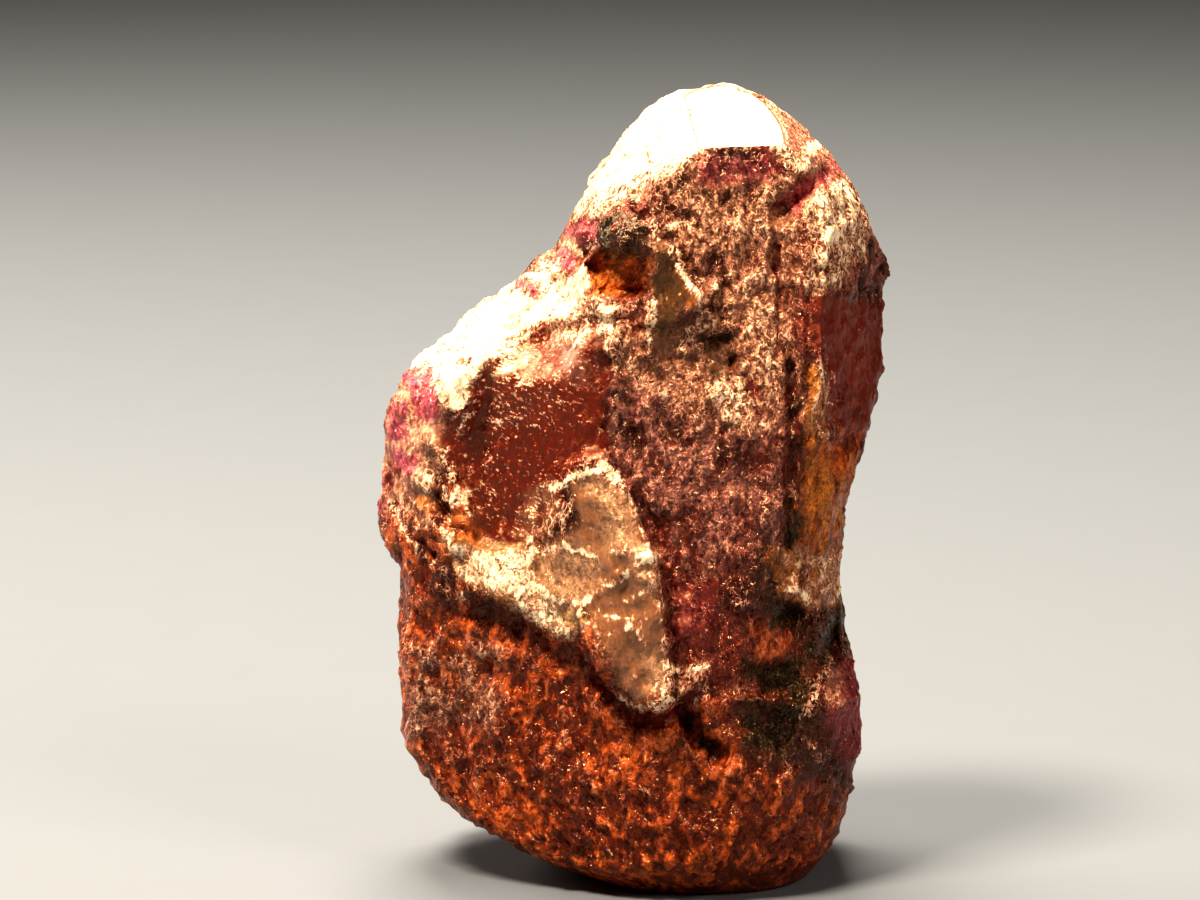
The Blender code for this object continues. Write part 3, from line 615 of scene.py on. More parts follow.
# painted highlights along the lit rims of ridges, and dark lines along cracks and slits: how much
# frosting they add or take, width, line
LIT_RIMS_AND_GLINTS_AT = [
    (1.00, 0.040, [(0.37, 11.98), (0.80, 11.45), (1.34, 10.64)]),
    (0.70, 0.040, [(0.46, 11.5), (0.42, 10.6), (0.40, 10.0)]),
    (0.30, 0.06, [(1.34, 10.64), (0.93, 9.74)]),
    (0.60, 0.05, [(0.27, 12.22), (0.68, 12.0)]),
    (0.45, 0.06, [(-0.48, 9.8), (-0.46, 10.35), (-0.2, 10.45)]),
    (0.50, 0.05, [(-0.50, 11.4), (-0.50, 10.8)]),
    (0.45, 0.12, [(-0.98, 11.6), (-0.75, 11.2), (-0.95, 10.9)]),
    (0.90, 0.08, [(-1.42, 7.16), (-0.39, 7.63), (-0.10, 7.29)]),
    (0.40, 0.06, [(-1.14, 7.10), (-1.33, 6.50), (-1.25, 6.07)]),
    (0.85, 0.06, [(-1.88, 5.95), (-1.20, 6.05), (-0.60, 5.85), (-0.50, 5.50)]),
    (0.90, 0.06, [(-1.80, 5.30), (-1.30, 5.05), (-0.80, 5.00)]),
    (1.05, 0.045, CHIP_RIB),
    (0.80, 0.04, [(-0.90, 4.55), (-0.15, 5.05), (0.42, 5.45)]),
    (1.00, 0.07, [(-0.25, 6.00), (0.45, 5.80)]),
    (0.30, 0.05, [(-0.76, 5.04), (-0.57, 3.91), (0.18, 3.16)]),
    (0.55, 0.04, [(-0.48, 7.70), (-0.02, 6.92), (0.36, 6.17), (0.54, 5.23), (0.63, 4.29),
                  (0.68, 3.00)]),
    (0.55, 0.06, CHIP_FOOT),
    (0.45, 0.07, [(0.5, 3.9), (1.0, 3.72), (1.5, 3.9)]),
    (0.50, 0.07, [(0.5, 3.15), (1.0, 3.08), (1.5, 3.35)]),
    (0.40, 0.06, [(3.30, 9.3), (3.48, 8.6), (3.66, 7.9)]),
    (0.35, 0.05, [(3.52, 9.3), (3.64, 8.6)]),
    (0.60, 0.05, [(2.67, 5.36), (3.24, 5.08), (3.67, 4.72)]),
    (0.60, 0.05, [(3.95, 5.36), (3.67, 4.87)]),
    (0.52, 0.14, [(3.95, 4.44), (3.67, 3.73), (3.24, 2.95)]),
    (0.40, 0.05, [(3.10, 2.95), (3.45, 2.24)]),
    (0.30, 0.04, COLUMN_RIB),
    (0.50, 0.045, NET_DIAGONAL),
    (0.45, 0.045, NET_CROSSING),
    (0.45, 0.06, NET_SHORT),
    (0.45, 0.06, NET_OUTER),
    (0.50, 0.06, NET_LOWEST),
    (0.70, 0.06, [(-3.25, 8.12), (-2.90, 8.42), (-2.40, 8.38)]),
    # painted glints: small bright spots of frosting
    (1.00, 0.07, [(-0.10, 4.56), (-0.02, 4.60)]),
    (1.20, 0.09, [(3.40, 13.55), (3.46, 13.60)]),
    (1.20, 0.09, [(3.78, 11.85), (3.84, 11.90)]),
    (1.20, 0.10, [(-3.28, 8.64), (-3.15, 8.66)]),
    (-0.60, 0.14, [(3.00, 12.45), (3.45, 12.92), (3.88, 13.28)]),
    (-0.60, 0.05, [(2.74, 12.3), (2.74, 10.7)]),
    (-0.60, 0.06, [(2.50, 8.15), (2.50, 6.60)]),
    (-0.55, 0.05, [(3.34, 10.3), (3.30, 8.8)]),
    (-0.50, 0.09, [(3.10, 8.9), (3.08, 6.0)]),
    (-0.90, 0.06, [(0.36, 13.55), (0.48, 13.3)]),
    (-0.90, 0.07, [(-3.10, 9.62), (-3.05, 9.48)]),
]
# rose patches along the upper left edge and at the right
ROSE_AT = [
    (0.60, 0.20, [(-1.25, 12.1), (-0.75, 12.2), (-0.65, 11.9), (-1.2, 11.8)]),
    (1.0, 0.20, [(-1.35, 11.7), (-0.85, 11.5), (-0.95, 11.2), (-1.4, 11.3)]),
    (1.0, 0.20, [(-2.15, 11.05), (-1.65, 10.95), (-1.75, 10.75), (-2.2, 10.8)]),
    (1.2, 0.15, [(-4.35, 9.30), (-3.70, 9.42), (-3.66, 9.12), (-4.20, 9.02)]),
    (1.2, 0.15, [(-4.12, 9.00), (-3.72, 9.05), (-3.70, 8.50), (-4.05, 8.40)]),
    (1.0, 0.15, [(-4.55, 8.75), (-4.24, 8.70), (-4.22, 8.00), (-4.58, 8.02)]),
    (1.2, 0.15, [(-4.55, 7.82), (-4.07, 7.80), (-4.12, 7.42), (-4.50, 7.40)]),
    (0.8, 0.15, [(-4.95, 7.60), (-4.68, 7.50), (-4.66, 6.70), (-4.90, 6.64)]),
    (0.3, 0.5, [(3.9, 4.2), (4.6, 3.8), (4.6, 1.8), (3.9, 2.0), (3.7, 3.0)]),
    (0.28, 0.4, [(1.1, 13.4), (2.8, 13.4), (2.7, 12.8), (1.2, 12.9)]),
    (0.50, 0.15, [(2.90, 12.45), (3.55, 13.20), (3.90, 13.40), (4.00, 13.15), (3.15, 12.30)]),
    (0.14, 0.5, [(0.7, 5.2), (1.6, 5.3), (1.5, 4.3), (0.75, 4.3)]),
    (0.2, 0.4, [(2.9, 14.3), (3.6, 13.8), (3.5, 13.3), (2.9, 13.4)]),
]
# where the light comes through from behind: the whole base, and thin places
GLOW_AT = [
    (1.0, 1.0, [(-4.8, 4.6), (-3.2, 5.3), (-1.4, 4.4), (0.4, 2.9), (1.6, 3.0), (2.2, 2.0), (4.0, 1.4),
                (4.0, -1), (-4.8, -1)]),
    (0.8, 0.5, [(-3.9, 7.0), (-3.1, 7.4), (-2.2, 6.2), (-3.3, 6.0), (-4.4, 5.0), (-4.7, 6.4)]),
    (1.6, 0.2, [(-0.95, 11.7), (-0.5, 11.55), (0.45, 11.5), (0.45, 10.6), (-0.9, 10.7)]),
    (0.8, 0.4, [(3.3, 8.3), (4.3, 8.2), (4.1, 6.0), (3.2, 5.7)]),
    (0.9, 0.2, [(-4.1, 7.1), (-3.8, 7.1), (-3.8, 6.7), (-4.05, 6.65)]),
    (0.7, 0.2, [(-1.1, 11.7), (-0.55, 11.6), (-0.55, 10.9), (-1.0, 10.8)]),
    (0.7, 0.2, [(1.6, 9.7), (2.1, 9.7), (2.1, 9.3), (1.6, 9.3)]),
    (0.8, 0.3, [(2.2, 4.7), (3.1, 4.6), (2.9, 3.8), (2.2, 3.7)]),
    (1.0, 0.2, [(-1.2, 4.7), (-0.8, 4.6), (-0.45, 3.7), (-0.6, 3.2), (-1.0, 3.4)]),
]
# dark olive patches: the brow's own olive colour, painted shade under the shelf and under the
# plate's overhang, and dark in the pits, slits and hollows
SHADE_AT = [
    (1.5, 0.15, [(-0.62, 11.90), (-0.2, 12.28), (0.3, 12.22), (0.38, 11.5), (-0.60, 11.48)]),
    (0.7, 0.12, [(1.45, 10.60), (0.66, 10.28), (0.62, 10.08), (1.20, 10.22)]),
    (0.7, 0.20, [(2.95, 8.8), (3.25, 8.8), (3.2, 6.0), (2.95, 6.0)]),
    (1.0, 0.30, [(2.6, 4.95), (3.3, 4.95), (3.3, 4.4), (2.6, 4.5)]),
    (1.0, 0.30, [(3.05, 4.8), (3.5, 4.9), (4.05, 5.1), (4.05, 3.8), (3.7, 3.4), (3.3, 4.0)]),
    (0.9, 0.35, [(2.0, 3.9), (3.5, 3.9), (3.2, 2.2), (2.0, 2.2)]),
    (1.0, 0.15, [(0.9, 3.0), (1.2, 3.0), (1.7, 2.1), (1.4, 2.0)]),
    (0.4, 0.30, [(-2.9, 5.0), (-2.4, 4.9), (-2.0, 4.4), (-2.8, 4.5)]),
    (0.8, 0.20, [(1.3, 10.1), (2.0, 10.1), (2.2, 9.1), (1.5, 9.3)]),
    (0.9, 0.15, [(-4.15, 7.2), (-3.95, 7.2), (-3.95, 6.6), (-4.15, 6.6)]),
    (0.9, 0.15, [(-3.7, 7.3), (-3.5, 7.3), (-3.5, 6.9), (-3.7, 6.9)]),
    (0.8, 0.15, [(-3.95, 7.85), (-3.65, 7.85), (-3.65, 7.6), (-3.95, 7.6)]),
    (0.8, 0.15, [(-3.6, 6.85), (-3.2, 6.7), (-3.2, 6.5), (-3.6, 6.6)]),
]
# the dusty skin of the column and of the edges
MAUVE_AT = [
    (1.0, 0.8, [(-0.4, 8.3), (0.4, 12.0), (3.0, 12.8), (3.2, 8.6), (2.3, 7.6), (2.0, 5.6), (0.9, 5.7),
                (0.6, 6.2)]),
    (0.8, 0.4, [(-1.5, 10.2), (-0.5, 10.2), (-0.4, 9.0), (-1.2, 9.2)]),
    (0.6, 0.4, [(2.0, 8.3), (3.0, 8.3), (3.0, 6.0), (2.0, 6.0)]),
    (0.9, 0.4, [(4.1, 12.5), (4.9, 12.5), (4.9, 10.6), (4.0, 10.8)]),
    (0.8, 0.6, LEFT_BASE),
]
# clean windows
RUBY_AT = [
    (0.8, 0.30, [(-3.83, 8.38), (-2.90, 8.30), (-2.80, 7.30), (-3.40, 7.45)]),
    (1.0, 0.70, WINDOW),
    (1.0, 0.20, RIGHT_WINDOW),
    (0.7, 0.40, [(0.7, 5.3), (1.7, 5.3), (1.5, 4.2), (0.7, 4.2)]),
]
# the milky inside of the chip, and its brighter places, partly milky spots and partly painted highlight
MILK_AT = [
    (1.0, 0.30, [(-1.1, 7.2), (-0.6, 7.50), (-0.15, 7.0), (0.30, 6.2), (0.52, 5.2), (0.62, 4.3),
                 (0.66, 3.2), (0.2, 3.1), (-0.3, 3.5), (-0.65, 4.3), (-0.9, 4.9), (-1.7, 5.2),
                 (-1.9, 5.7), (-1.5, 6.0), (-1.0, 6.4)]),
]
SILVER_AT = [
    (0.8, 0.5, [(-0.9, 7.3), (-0.4, 7.4), (0.1, 6.5), (0.0, 6.0), (-0.4, 6.1), (-0.7, 6.9)]),
    (0.8, 0.4, [(-1.8, 5.9), (-1.2, 6.1), (-0.5, 5.9), (-0.6, 5.3), (-1.2, 4.9), (-1.7, 5.2)]),
    (0.7, 0.4, [(0.2, 4.1), (0.6, 4.1), (0.6, 3.3), (0.3, 3.3)]),
    (0.7, 0.3, [(-0.1, 6.1), (0.4, 6.0), (0.45, 5.4), (0.1, 5.4)]),
]
# the smooth three-cornered plate by the hollow
PLATE_AT = [
    (1.0, 0.10, [(0.36, 12.00), (1.33, 10.66), (0.95, 10.45), (0.72, 10.15), (0.42, 10.05),
                 (0.42, 11.00)]),
    (0.6, 0.30, [(0.44, 10.1), (0.8, 10.2), (0.9, 9.8), (0.44, 9.7)]),
]
# orange light in the net's meshes and in the hollow
FLAME_AT = [
    (1.0, 0.10, [(-4.05, 7.12), (-3.76, 7.02), (-3.70, 6.64), (-3.96, 6.64)]),
    (0.8, 0.20, [(-3.24, 6.66), (-2.86, 6.50), (-2.70, 6.05), (-3.14, 6.15)]),
    (1.0, 0.20, [(-0.95, 11.55), (0.38, 11.50), (0.38, 10.9), (-0.20, 10.75), (-0.90, 10.80)]),
    (0.9, 0.12, [(1.20, 10.78), (1.40, 10.62), (1.10, 10.48), (1.02, 10.60)]),
]
# a net of gilt threads at the window's left and top
NET_AT = [
    (1.0, 0.50, [(-3.85, 9.0), (-2.60, 9.3), (-2.30, 7.8), (-2.40, 5.9), (-3.4, 6.0), (-3.9, 7.4)]),
    (0.7, 0.50, [(-2.40, 9.6), (-0.80, 10.2), (-0.60, 9.3), (-2.20, 8.8)]),
]
# the smooth pinkish cream of the rims
BLUSH_AT = [
    (0.9, 0.5, [(-4.9, 9.0), (-4.0, 9.3), (-3.5, 8.9), (-3.8, 7.6), (-4.3, 6.9), (-5.0, 6.9)]),
    (0.9, 0.4, [(2.95, 14.7), (3.8, 14.0), (4.2, 13.1), (3.6, 13.0), (3.0, 13.5)]),
    (0.6, 0.4, [(-2.5, 11.3), (-1.2, 12.2), (-0.9, 11.4), (-1.9, 10.7)]),
]
# painted highlight: the pale gold where the shelf's top faces up into the light
SHELF_HIGHLIGHT_AT = [
    (0.8, 0.30, [(-3.55, 6.20), (-2.6, 5.95), (-1.8, 6.0), (-1.3, 5.3), (-0.9, 4.6), (-1.3, 4.35),
                 (-2.2, 4.95), (-3.1, 5.55)]),
]
# the gilt strips at the right
GOLD_AT = [
    (1.0, 0.20, [(3.28, 9.4), (3.55, 9.3), (3.70, 8.6), (3.72, 7.7), (3.35, 7.6), (3.30, 8.6)]),
    (0.9, 0.40, [(3.3, 7.8), (4.2, 7.7), (4.2, 6.2), (3.3, 5.9)]),
    (1.00, 0.40, [(2.7, 5.9), (4.1, 5.9), (4.1, 5.1), (3.3, 4.9), (2.7, 5.2)]),
]
PATCHES = {
    "frost_and_highlight": FROST_AND_HIGHLIGHT_AT, "rose": ROSE_AT, "glow": GLOW_AT, "shade": SHADE_AT, "mauve": MAUVE_AT,
    "ruby": RUBY_AT, "milk": MILK_AT, "silver": SILVER_AT, "plate": PLATE_AT, "flame": FLAME_AT,
    "net": NET_AT, "blush": BLUSH_AT, "sand": SHELF_HIGHLIGHT_AT, "gold": GOLD_AT,
}

# what each finish shows by itself, and how clear it is: light that isn't sent back goes in
Finish = namedtuple("Finish", "colour clear")
DEEP_GARNET = Finish((0.030, 0.006, 0.005), 0.70)
GARNET = Finish((0.110, 0.018, 0.012), 0.70)
RUBY = Finish((0.100, 0.010, 0.004), 0.80)
MAUVE = Finish((0.205, 0.080, 0.070), 0.35)
BRONZE = Finish((0.255, 0.115, 0.070), 0.25)
# the embers and the flame are painted light that comes through the stone
DEEP_EMBER = Finish((0.100, 0.014, 0.004), 0.65)
EMBER = Finish((0.510, 0.112, 0.022), 0.35)
ROSE = Finish((0.450, 0.070, 0.112), 0.50)
# dark olive: the stone's own colour in places, and painted shade in others
OLIVE_AND_SHADOW = Finish((0.024, 0.016, 0.006), 0.00)
MILK = Finish((0.260, 0.125, 0.070), 0.50)
# silver: partly milky colour, partly painted highlight
SILVER = Finish((0.400, 0.240, 0.150), 0.40)
GOLD = Finish((0.430, 0.160, 0.030), 0.10)
PLATE = Finish((0.130, 0.062, 0.028), 0.10)
FLAME = Finish((0.600, 0.200, 0.050), 0.10)
BLUSH = Finish((0.600, 0.290, 0.205), 0.30)
# painted highlight of the shelf's lit top
SHELF_HIGHLIGHT = Finish((0.740, 0.450, 0.220), 0.00)

# the front's patches fade out where the surface turns away, between these cosines to the eye; the
# smooth top face is kept to where the surface faces as its flat does
PATCH_FACING = (-0.05, 0.25)
TOP_FACING = (0.955, 0.985)
TOP_EDGE = 0.12

# how the borders of the patches wander: how far, size, seeds for across and for up
BORDER_MEDIUM = (0.12, 0.5, (31, 33))
BORDER_SMALL = (0.05, 0.17, (32, 34))
# broad lumps that share out the finishes on the sides and the back: share, size; four fields' seeds
FAR_LUMPS = ((0.7, 2.2), (0.3, 0.8))
FAR_SEEDS = (41, 43, 45, 47)

# grain of the skin: share, size, seed. Stirred lumps are read at points shifted by up to STIR.
# A span is what part of a field counts, from none at its first value to all at its second.
STIR = 0.14
STIR_SIZE, STIR_SEED = 0.3, 35
BROAD = [(0.7, 1.5, 40), (0.3, 0.5, 50)]
BROAD_SPAN = (-0.3, 0.3)
MOTTLE_STIRRED = [(0.45, 0.55, 36), (0.35, 0.24, 37)]
MOTTLE_FINE = [(0.3, 0.12, 51)]
VEIN_STIRRED = [(0.5, 0.36, 38), (0.5, 0.16, 39)]
FINE_STIRRED = [(0.5, 0.26, 54)]
FINE_PLAIN = [(0.5, 0.12, 51)]
UPRIGHT_GRAIN = [(1, 0.10, 53)]
UPRIGHT_FLOW = (1, 1, 0.2)
# scratches run up to the right: this turns that way into the first axis and draws it out
SCRATCH_RUN, SCRATCH_RISE, SCRATCH_STRETCH = 0.85, 0.53, 0.2
SCRATCH_FLOW = np.array([
    [SCRATCH_RUN * SCRATCH_STRETCH, 0.0, -SCRATCH_RISE],
    [0.0, 1.0, 0.0],
    [SCRATCH_RISE * SCRATCH_STRETCH, 0.0, SCRATCH_RUN]])
SCRATCHES = [(1, 0.16, 55)]
SCRATCH_SPAN = (0.80, 0.97)
CRACKS = [(1, 0.30, 56)]
CRACK_SPAN = (-0.10, 0.20)
THREAD_SPAN = (0.72, 0.95)
CLEAN_SPAN = (-0.7, -0.1)
SPOT_SPAN = (-0.25, 0.15)
# the windows' borders are broken up by the lumps
RUBY_SMALL, RUBY_MEDIUM = 0.5, 0.25
RUBY_SPAN = (0.30, 0.75)

# crests are measured against the points this many rows and columns away, and are full this high
NEIGHBOURS = (-6, -3, 3, 6)
CREST_HEIGHT = 0.05

# frosting: what the crests add as painted highlight and what the grain adds, what each finish takes off,
# and what marks the chip
CREST_HIGHLIGHT = 0.16
FROST_MOTTLE = 0.13
FROST_SHADE = 0.6
FROST_LESS = {"gold": 0.3, "ruby": 0.15, "plate": 0.5, "flame": 0.5, "blush": 0.25, "sand": 0.05}
CHIP_VEIN, CHIP_SCRATCH, CHIP_SILVER, CHIP_CLEAR = 0.6, 0.5, 0.25, 0.5
NET_VEIN = 0.5
POLISHED = -1.0
# smoothness of the windows, of the chip and less where it is silvery, and of the plate
SMOOTH_RUBY, SMOOTH_MILK, SMOOTH_SILVER, SMOOTH_PLATE = 0.7, 0.7, 0.5, 0.5


def mixed(share, below, above):
    """Array below where share is 0, above where it is 1."""
    return below + (np.asarray(above) - below) * share[..., None]


def summed(points, parts):
    """Sum of random lumps: share, size and seed of each."""
    return sum(share * waves(points, size, seed) for share, size, seed in parts)


def folded(lumps):
    """1 along the lines where the lumps change sign, down to -1 at their highest and lowest."""
    return 1 - 2 * np.abs(lumps)


def crests(points, normal):
    """How far the skin stands out of its surroundings, from -1 in hollows to 1 on crests: its
    height along the normal above the mean of the neighbours, over CREST_HEIGHT."""
    far = max(NEIGHBOURS)
    padded = np.pad(points, ((far, far), (0, 0), (0, 0)), mode="edge")
    around = sum(
        np.roll(points, turn, axis=1) + padded[far + turn:far + turn + len(points)]
        for turn in NEIGHBOURS)
    mean = around / (2 * len(NEIGHBOURS))
    return np.clip(((points - mean) * normal).sum(-1) / CREST_HEIGHT, -1, 1)


def far_shares(points, normal):
    """How much of each finish the sides and the back have: broad random lumps, with the height
    and the slope. Faces that look up get more frosting, a painted highlight from the light above,
    and the low part gets the painted glow of light coming through."""
    height = points[..., 2]
    (much, wide), (little, narrow) = FAR_LUMPS
    lumps = [summed(points, [(much, wide, seed), (little, narrow, seed + 1)]) for seed in FAR_SEEDS]
    return {
        "frost_and_highlight": 0.66 * ramp(lumps[0] + 0.5 * normal[..., 2] + 0.03 * (height - 7), -0.15, 0.5),
        "rose": 0.3 * ramp(lumps[1] + 0.02 * height, 0.2, 0.45),
        "glow": np.maximum(ramp(height, 5.5, 2.5), 0.6 * ramp(lumps[2], 0.2, 0.45)),
        "shade": ramp(-lumps[1], 0.25, 0.45),
        "mauve": ramp(lumps[3], -0.2, 0.2),
        "ruby": ramp(-lumps[0], 0.1, 0.35),
    }


def finishes(points):
    """Colour with silkiness, and frosting, clearness and smoothness, at each point. The front has
    its own patches, and elsewhere broad random lumps share the finishes out. Each finish is then
    laid over the ones before it, broken up by the grain of the skin. Part of the colour and the
    frosting is painted light: glow where light comes through, highlights on lit faces, crests and
    rims, glints, and shade in hollows and under overhangs."""
    normal = outward(points)
    front = ramp(normal @ direction(*VIEWS["front"]), *PATCH_FACING)
    across, up, _ = seen(points, VIEWS["front"])
    medium_far, medium_size, medium_seeds = BORDER_MEDIUM
    small_far, small_size, small_seeds = BORDER_SMALL
    medium = waves(points, medium_size, medium_seeds[0])
    small = waves(points, small_size, small_seeds[0])
    across = across + medium_far * medium + small_far * small
    up = up + medium_far * waves(points, medium_size, medium_seeds[1])
    up = up + small_far * waves(points, small_size, small_seeds[1])
    elsewhere = far_shares(points, normal)
    share = {
        name: painted(across, up, patches) * front + elsewhere.get(name, 0.0) * (1 - front)
        for name, patches in PATCHES.items()}
    share["ruby"] = ramp(share["ruby"] + RUBY_SMALL * small + RUBY_MEDIUM * medium, *RUBY_SPAN)
    faces_up = normal @ direction(FLATS["top"].turn, FLATS["top"].tilt)
    polish = within(across, up, TOP_FACE, TOP_EDGE) * ramp(faces_up, *TOP_FACING)

    stirred = points + STIR * np.stack([small, medium, waves(points, STIR_SIZE, STIR_SEED)], axis=-1)
    broad = ramp(summed(points, BROAD), *BROAD_SPAN)
    grain = summed(points * UPRIGHT_FLOW, UPRIGHT_GRAIN)
    mottle = summed(stirred, MOTTLE_STIRRED) + summed(points, MOTTLE_FINE)
    vein = folded(summed(stirred, VEIN_STIRRED))
    threads = ramp(vein, *THREAD_SPAN)
    # below, crests are painted lighter and hollows darker in the layers and the frosting: painted
    # highlight and painted shade
    crest_light_and_shade = crests(points, normal)
    scratch = ramp(folded(summed(points @ SCRATCH_FLOW, SCRATCHES)), *SCRATCH_SPAN)
    cracks = ramp(summed(points @ SCRATCH_FLOW, CRACKS), *CRACK_SPAN)
    clean = ramp(mottle, *CLEAN_SPAN)
    spots = ramp(mottle, *SPOT_SPAN)
    fine = summed(stirred, FINE_STIRRED) + summed(points, FINE_PLAIN)

    # each finish over the ones before it, and how much of it covers them
    layers = [
        (GARNET, broad),
        (RUBY, share["ruby"]),
        (DEEP_EMBER, share["glow"]),
        (EMBER, share["glow"] * ramp(vein + 1.0 * fine + 0.4 * crest_light_and_shade + 0.5 * (broad - 0.5), 0.35, 1.45)),
        (MAUVE, share["mauve"] * ramp(mottle + 0.4 * crest_light_and_shade, -0.4, 0.2)),
        (BRONZE, ramp(share["frost_and_highlight"], 0.25, 0.55) * ramp(mottle + 0.5 * crest_light_and_shade, -0.8, 0.0)),
        (BLUSH, share["blush"] * ramp(mottle, -0.5, 0.1)),
        (SHELF_HIGHLIGHT, share["sand"] * ramp(mottle, -0.8, -0.2)),
        (ROSE, np.minimum(share["rose"] * clean, 1)),
        (OLIVE_AND_SHADOW, np.minimum(share["shade"] * (0.4 + 0.6 * cracks), 1)),
        (MILK, share["milk"]),
        (SILVER, share["silver"]),
        (GOLD, share["gold"] * ramp(grain, -0.5, 0.3)),
        (PLATE, share["plate"]),
        (FLAME, share["flame"] * ramp(fine, -0.5, 0.1)),
    ]
    colour = np.broadcast_to(DEEP_GARNET.colour, points.shape)
    clear = np.full(points.shape[:-1], DEEP_GARNET.clear)
    for finish, at in layers:
        colour = mixed(at, colour, finish.colour)
        clear = clear + (finish.clear - clear) * at

    # the frosting of the skin, partly painted highlight and glints: cream where it is near 1, none where
    # it is below 0
    frost_and_highlight = share["frost_and_highlight"] + CREST_HIGHLIGHT * crest_light_and_shade + FROST_MOTTLE * mottle
    frost_and_highlight = frost_and_highlight - FROST_SHADE * share["shade"] * (0.3 + 0.7 * spots)
    marks = CHIP_VEIN * threads + CHIP_SCRATCH * scratch + CHIP_SILVER * share["silver"]
    frost_and_highlight = frost_and_highlight + share["milk"] * (marks - CHIP_CLEAR) - share["rose"] * clean
    for name, less in FROST_LESS.items():
        frost_and_highlight = frost_and_highlight - less * share[name]
    frost_and_highlight = frost_and_highlight + NET_VEIN * threads * share["net"]
    frost_and_highlight = frost_and_highlight + front * sum(add * along(across, up, line, width) for add, width, line in LIT_RIMS_AND_GLINTS_AT)
    frost_and_highlight = np.where(polish > 0.5, POLISHED, frost_and_highlight)
    smooth = SMOOTH_RUBY * share["ruby"] + share["milk"] * (SMOOTH_MILK - SMOOTH_SILVER * share["silver"])
    smooth = np.clip(smooth + SMOOTH_PLATE * share["plate"] + polish, 0, 1)
    silky = share["ruby"][..., None]
    return np.concatenate([colour, silky], axis=-1), np.stack([frost_and_highlight, clear, smooth], axis=-1)


def layer(mesh, name, kind, values):
    """Write an attribute of one value or colour a point: the foot's pole, the rings between and
    the peak's pole. Each pole has the mean of its own row."""
    rings = values[1:-1].reshape(-1, values.shape[-1])
    flat = np.concatenate([values[:1].mean(axis=1), rings, values[-1:].mean(axis=1)])
    attribute = mesh.attributes.new(name, kind, "POINT")
    part = "color" if kind == "FLOAT_COLOR" else "vector"
    attribute.data.foreach_set(part, flat.astype(np.float32).ravel())


def crystal():
    """The grid as one closed mesh, with its finishes as attributes: four-cornered faces between
    each ring and the next, and fans of three-cornered faces from the first and last ring to the
    two poles, which are the means of the first and last row."""
    points = stone_grid()
    colour, feel = finishes(points)
    points = (points - np.array([*MIDDLE, 0.0])) * MM
    rings = points[1:-1].reshape(-1, 3)
    foot, peak = points[0].mean(axis=0), points[-1].mean(axis=0)
    vertices = np.concatenate([foot[None], rings, peak[None]])
    here = np.arange(COLUMNS)
    following = (here + 1) % COLUMNS
    low = 1 + np.arange(ROWS - 3)[:, None] * COLUMNS
    high = low + COLUMNS
    quads = np.stack([low + here, low + following, high + following, high + here], axis=-1)
    last = high[-1, 0]
    foot_fan = np.stack([0 * here, 1 + following, 1 + here], axis=-1)
    peak_fan = np.stack([0 * here + len(vertices) - 1, last + here, last + following], axis=-1)
    faces = foot_fan.tolist() + quads.reshape(-1, 4).tolist() + peak_fan.tolist()
    mesh = bpy.data.meshes.new("crystal")
    mesh.from_pydata(vertices.tolist(), [], faces)
    mesh.shade_smooth()
    layer(mesh, "skin", "FLOAT_COLOR", colour)
    layer(mesh, "feel", "FLOAT_VECTOR", feel)
    piece = bpy.data.objects.new("crystal", mesh)
    bpy.context.scene.collection.objects.link(piece)
    return piece


# ---------------------------------------------------------------------------------------------
# Material
# ---------------------------------------------------------------------------------------------

class Shade:
    """Short names for the shader nodes that the materials use. Places are Object coordinates."""

    def __init__(self, name):
        self.material = bpy.data.materials.new(name)
        self.material.use_nodes = True
        self.nodes = self.material.node_tree.nodes
        self.links = self.material.node_tree.links
        self.surface = self.nodes["Principled BSDF"]
        self.out = self.nodes["Material Output"]
        self.place = self.add("ShaderNodeTexCoord").outputs["Object"]

    def add(self, kind, inputs=None, **settings):
        """New node of that kind, with its inputs and its settings."""
        node = self.nodes.new(kind)
        for key, value in settings.items():
            setattr(node, key, value)
        for key, value in (inputs or {}).items():
            self.put(value, node.inputs[key])
        return node

    def put(self, value, socket):
        """Link a socket's value, or set a constant."""
        if isinstance(value, bpy.types.NodeSocket):
            self.links.new(value, socket)
        elif isinstance(value, tuple) and len(value) == 3 and socket.type == "RGBA":
            socket.default_value = (*value, 1.0)
        else:
            socket.default_value = value

    def math(self, kind, a, b=0.0, c=0.0):
        """One number from up to three."""
        return self.add("ShaderNodeMath", {0: a, 1: b, 2: c}, operation=kind).outputs[0]

    def vector(self, kind, a, b=(0.0, 0.0, 0.0), scale=1.0):
        """One vector from up to two and a scale."""
        return self.add("ShaderNodeVectorMath", {0: a, 1: b, 3: scale}, operation=kind).outputs[0]

    def stretch(self, value, low, high):
        """0 at low, 1 at high, smooth between and held beyond."""
        node = self.add("ShaderNodeMapRange", {"Value": value, "From Min": low, "From Max": high},
                        interpolation_type="SMOOTHSTEP")
        return node.outputs["Result"]

    def mix(self, share, a, b):
        """Colour a where share is 0, b where it is 1."""
        node = self.add("ShaderNodeMix", data_type="RGBA")
        for value, socket in zip((share, a, b), (node.inputs[0], node.inputs[6], node.inputs[7])):
            self.put(value, socket)
        return node.outputs[2]

    def blend(self, share, a, b):
        """Number a where share is 0, b where it is 1."""
        node = self.add("ShaderNodeMix", data_type="FLOAT")
        for value, socket in zip((share, a, b), (node.inputs[0], node.inputs[2], node.inputs[3])):
            self.put(value, socket)
        return node.outputs[0]

    def noise(self, place, size_mm, detail, rough, twist):
        """Noise whose lumps are about size_mm across."""
        return self.add("ShaderNodeTexNoise", {
            "Vector": place, "Scale": 1 / (size_mm * MM), "Detail": detail, "Roughness": rough,
            "Distortion": twist}).outputs


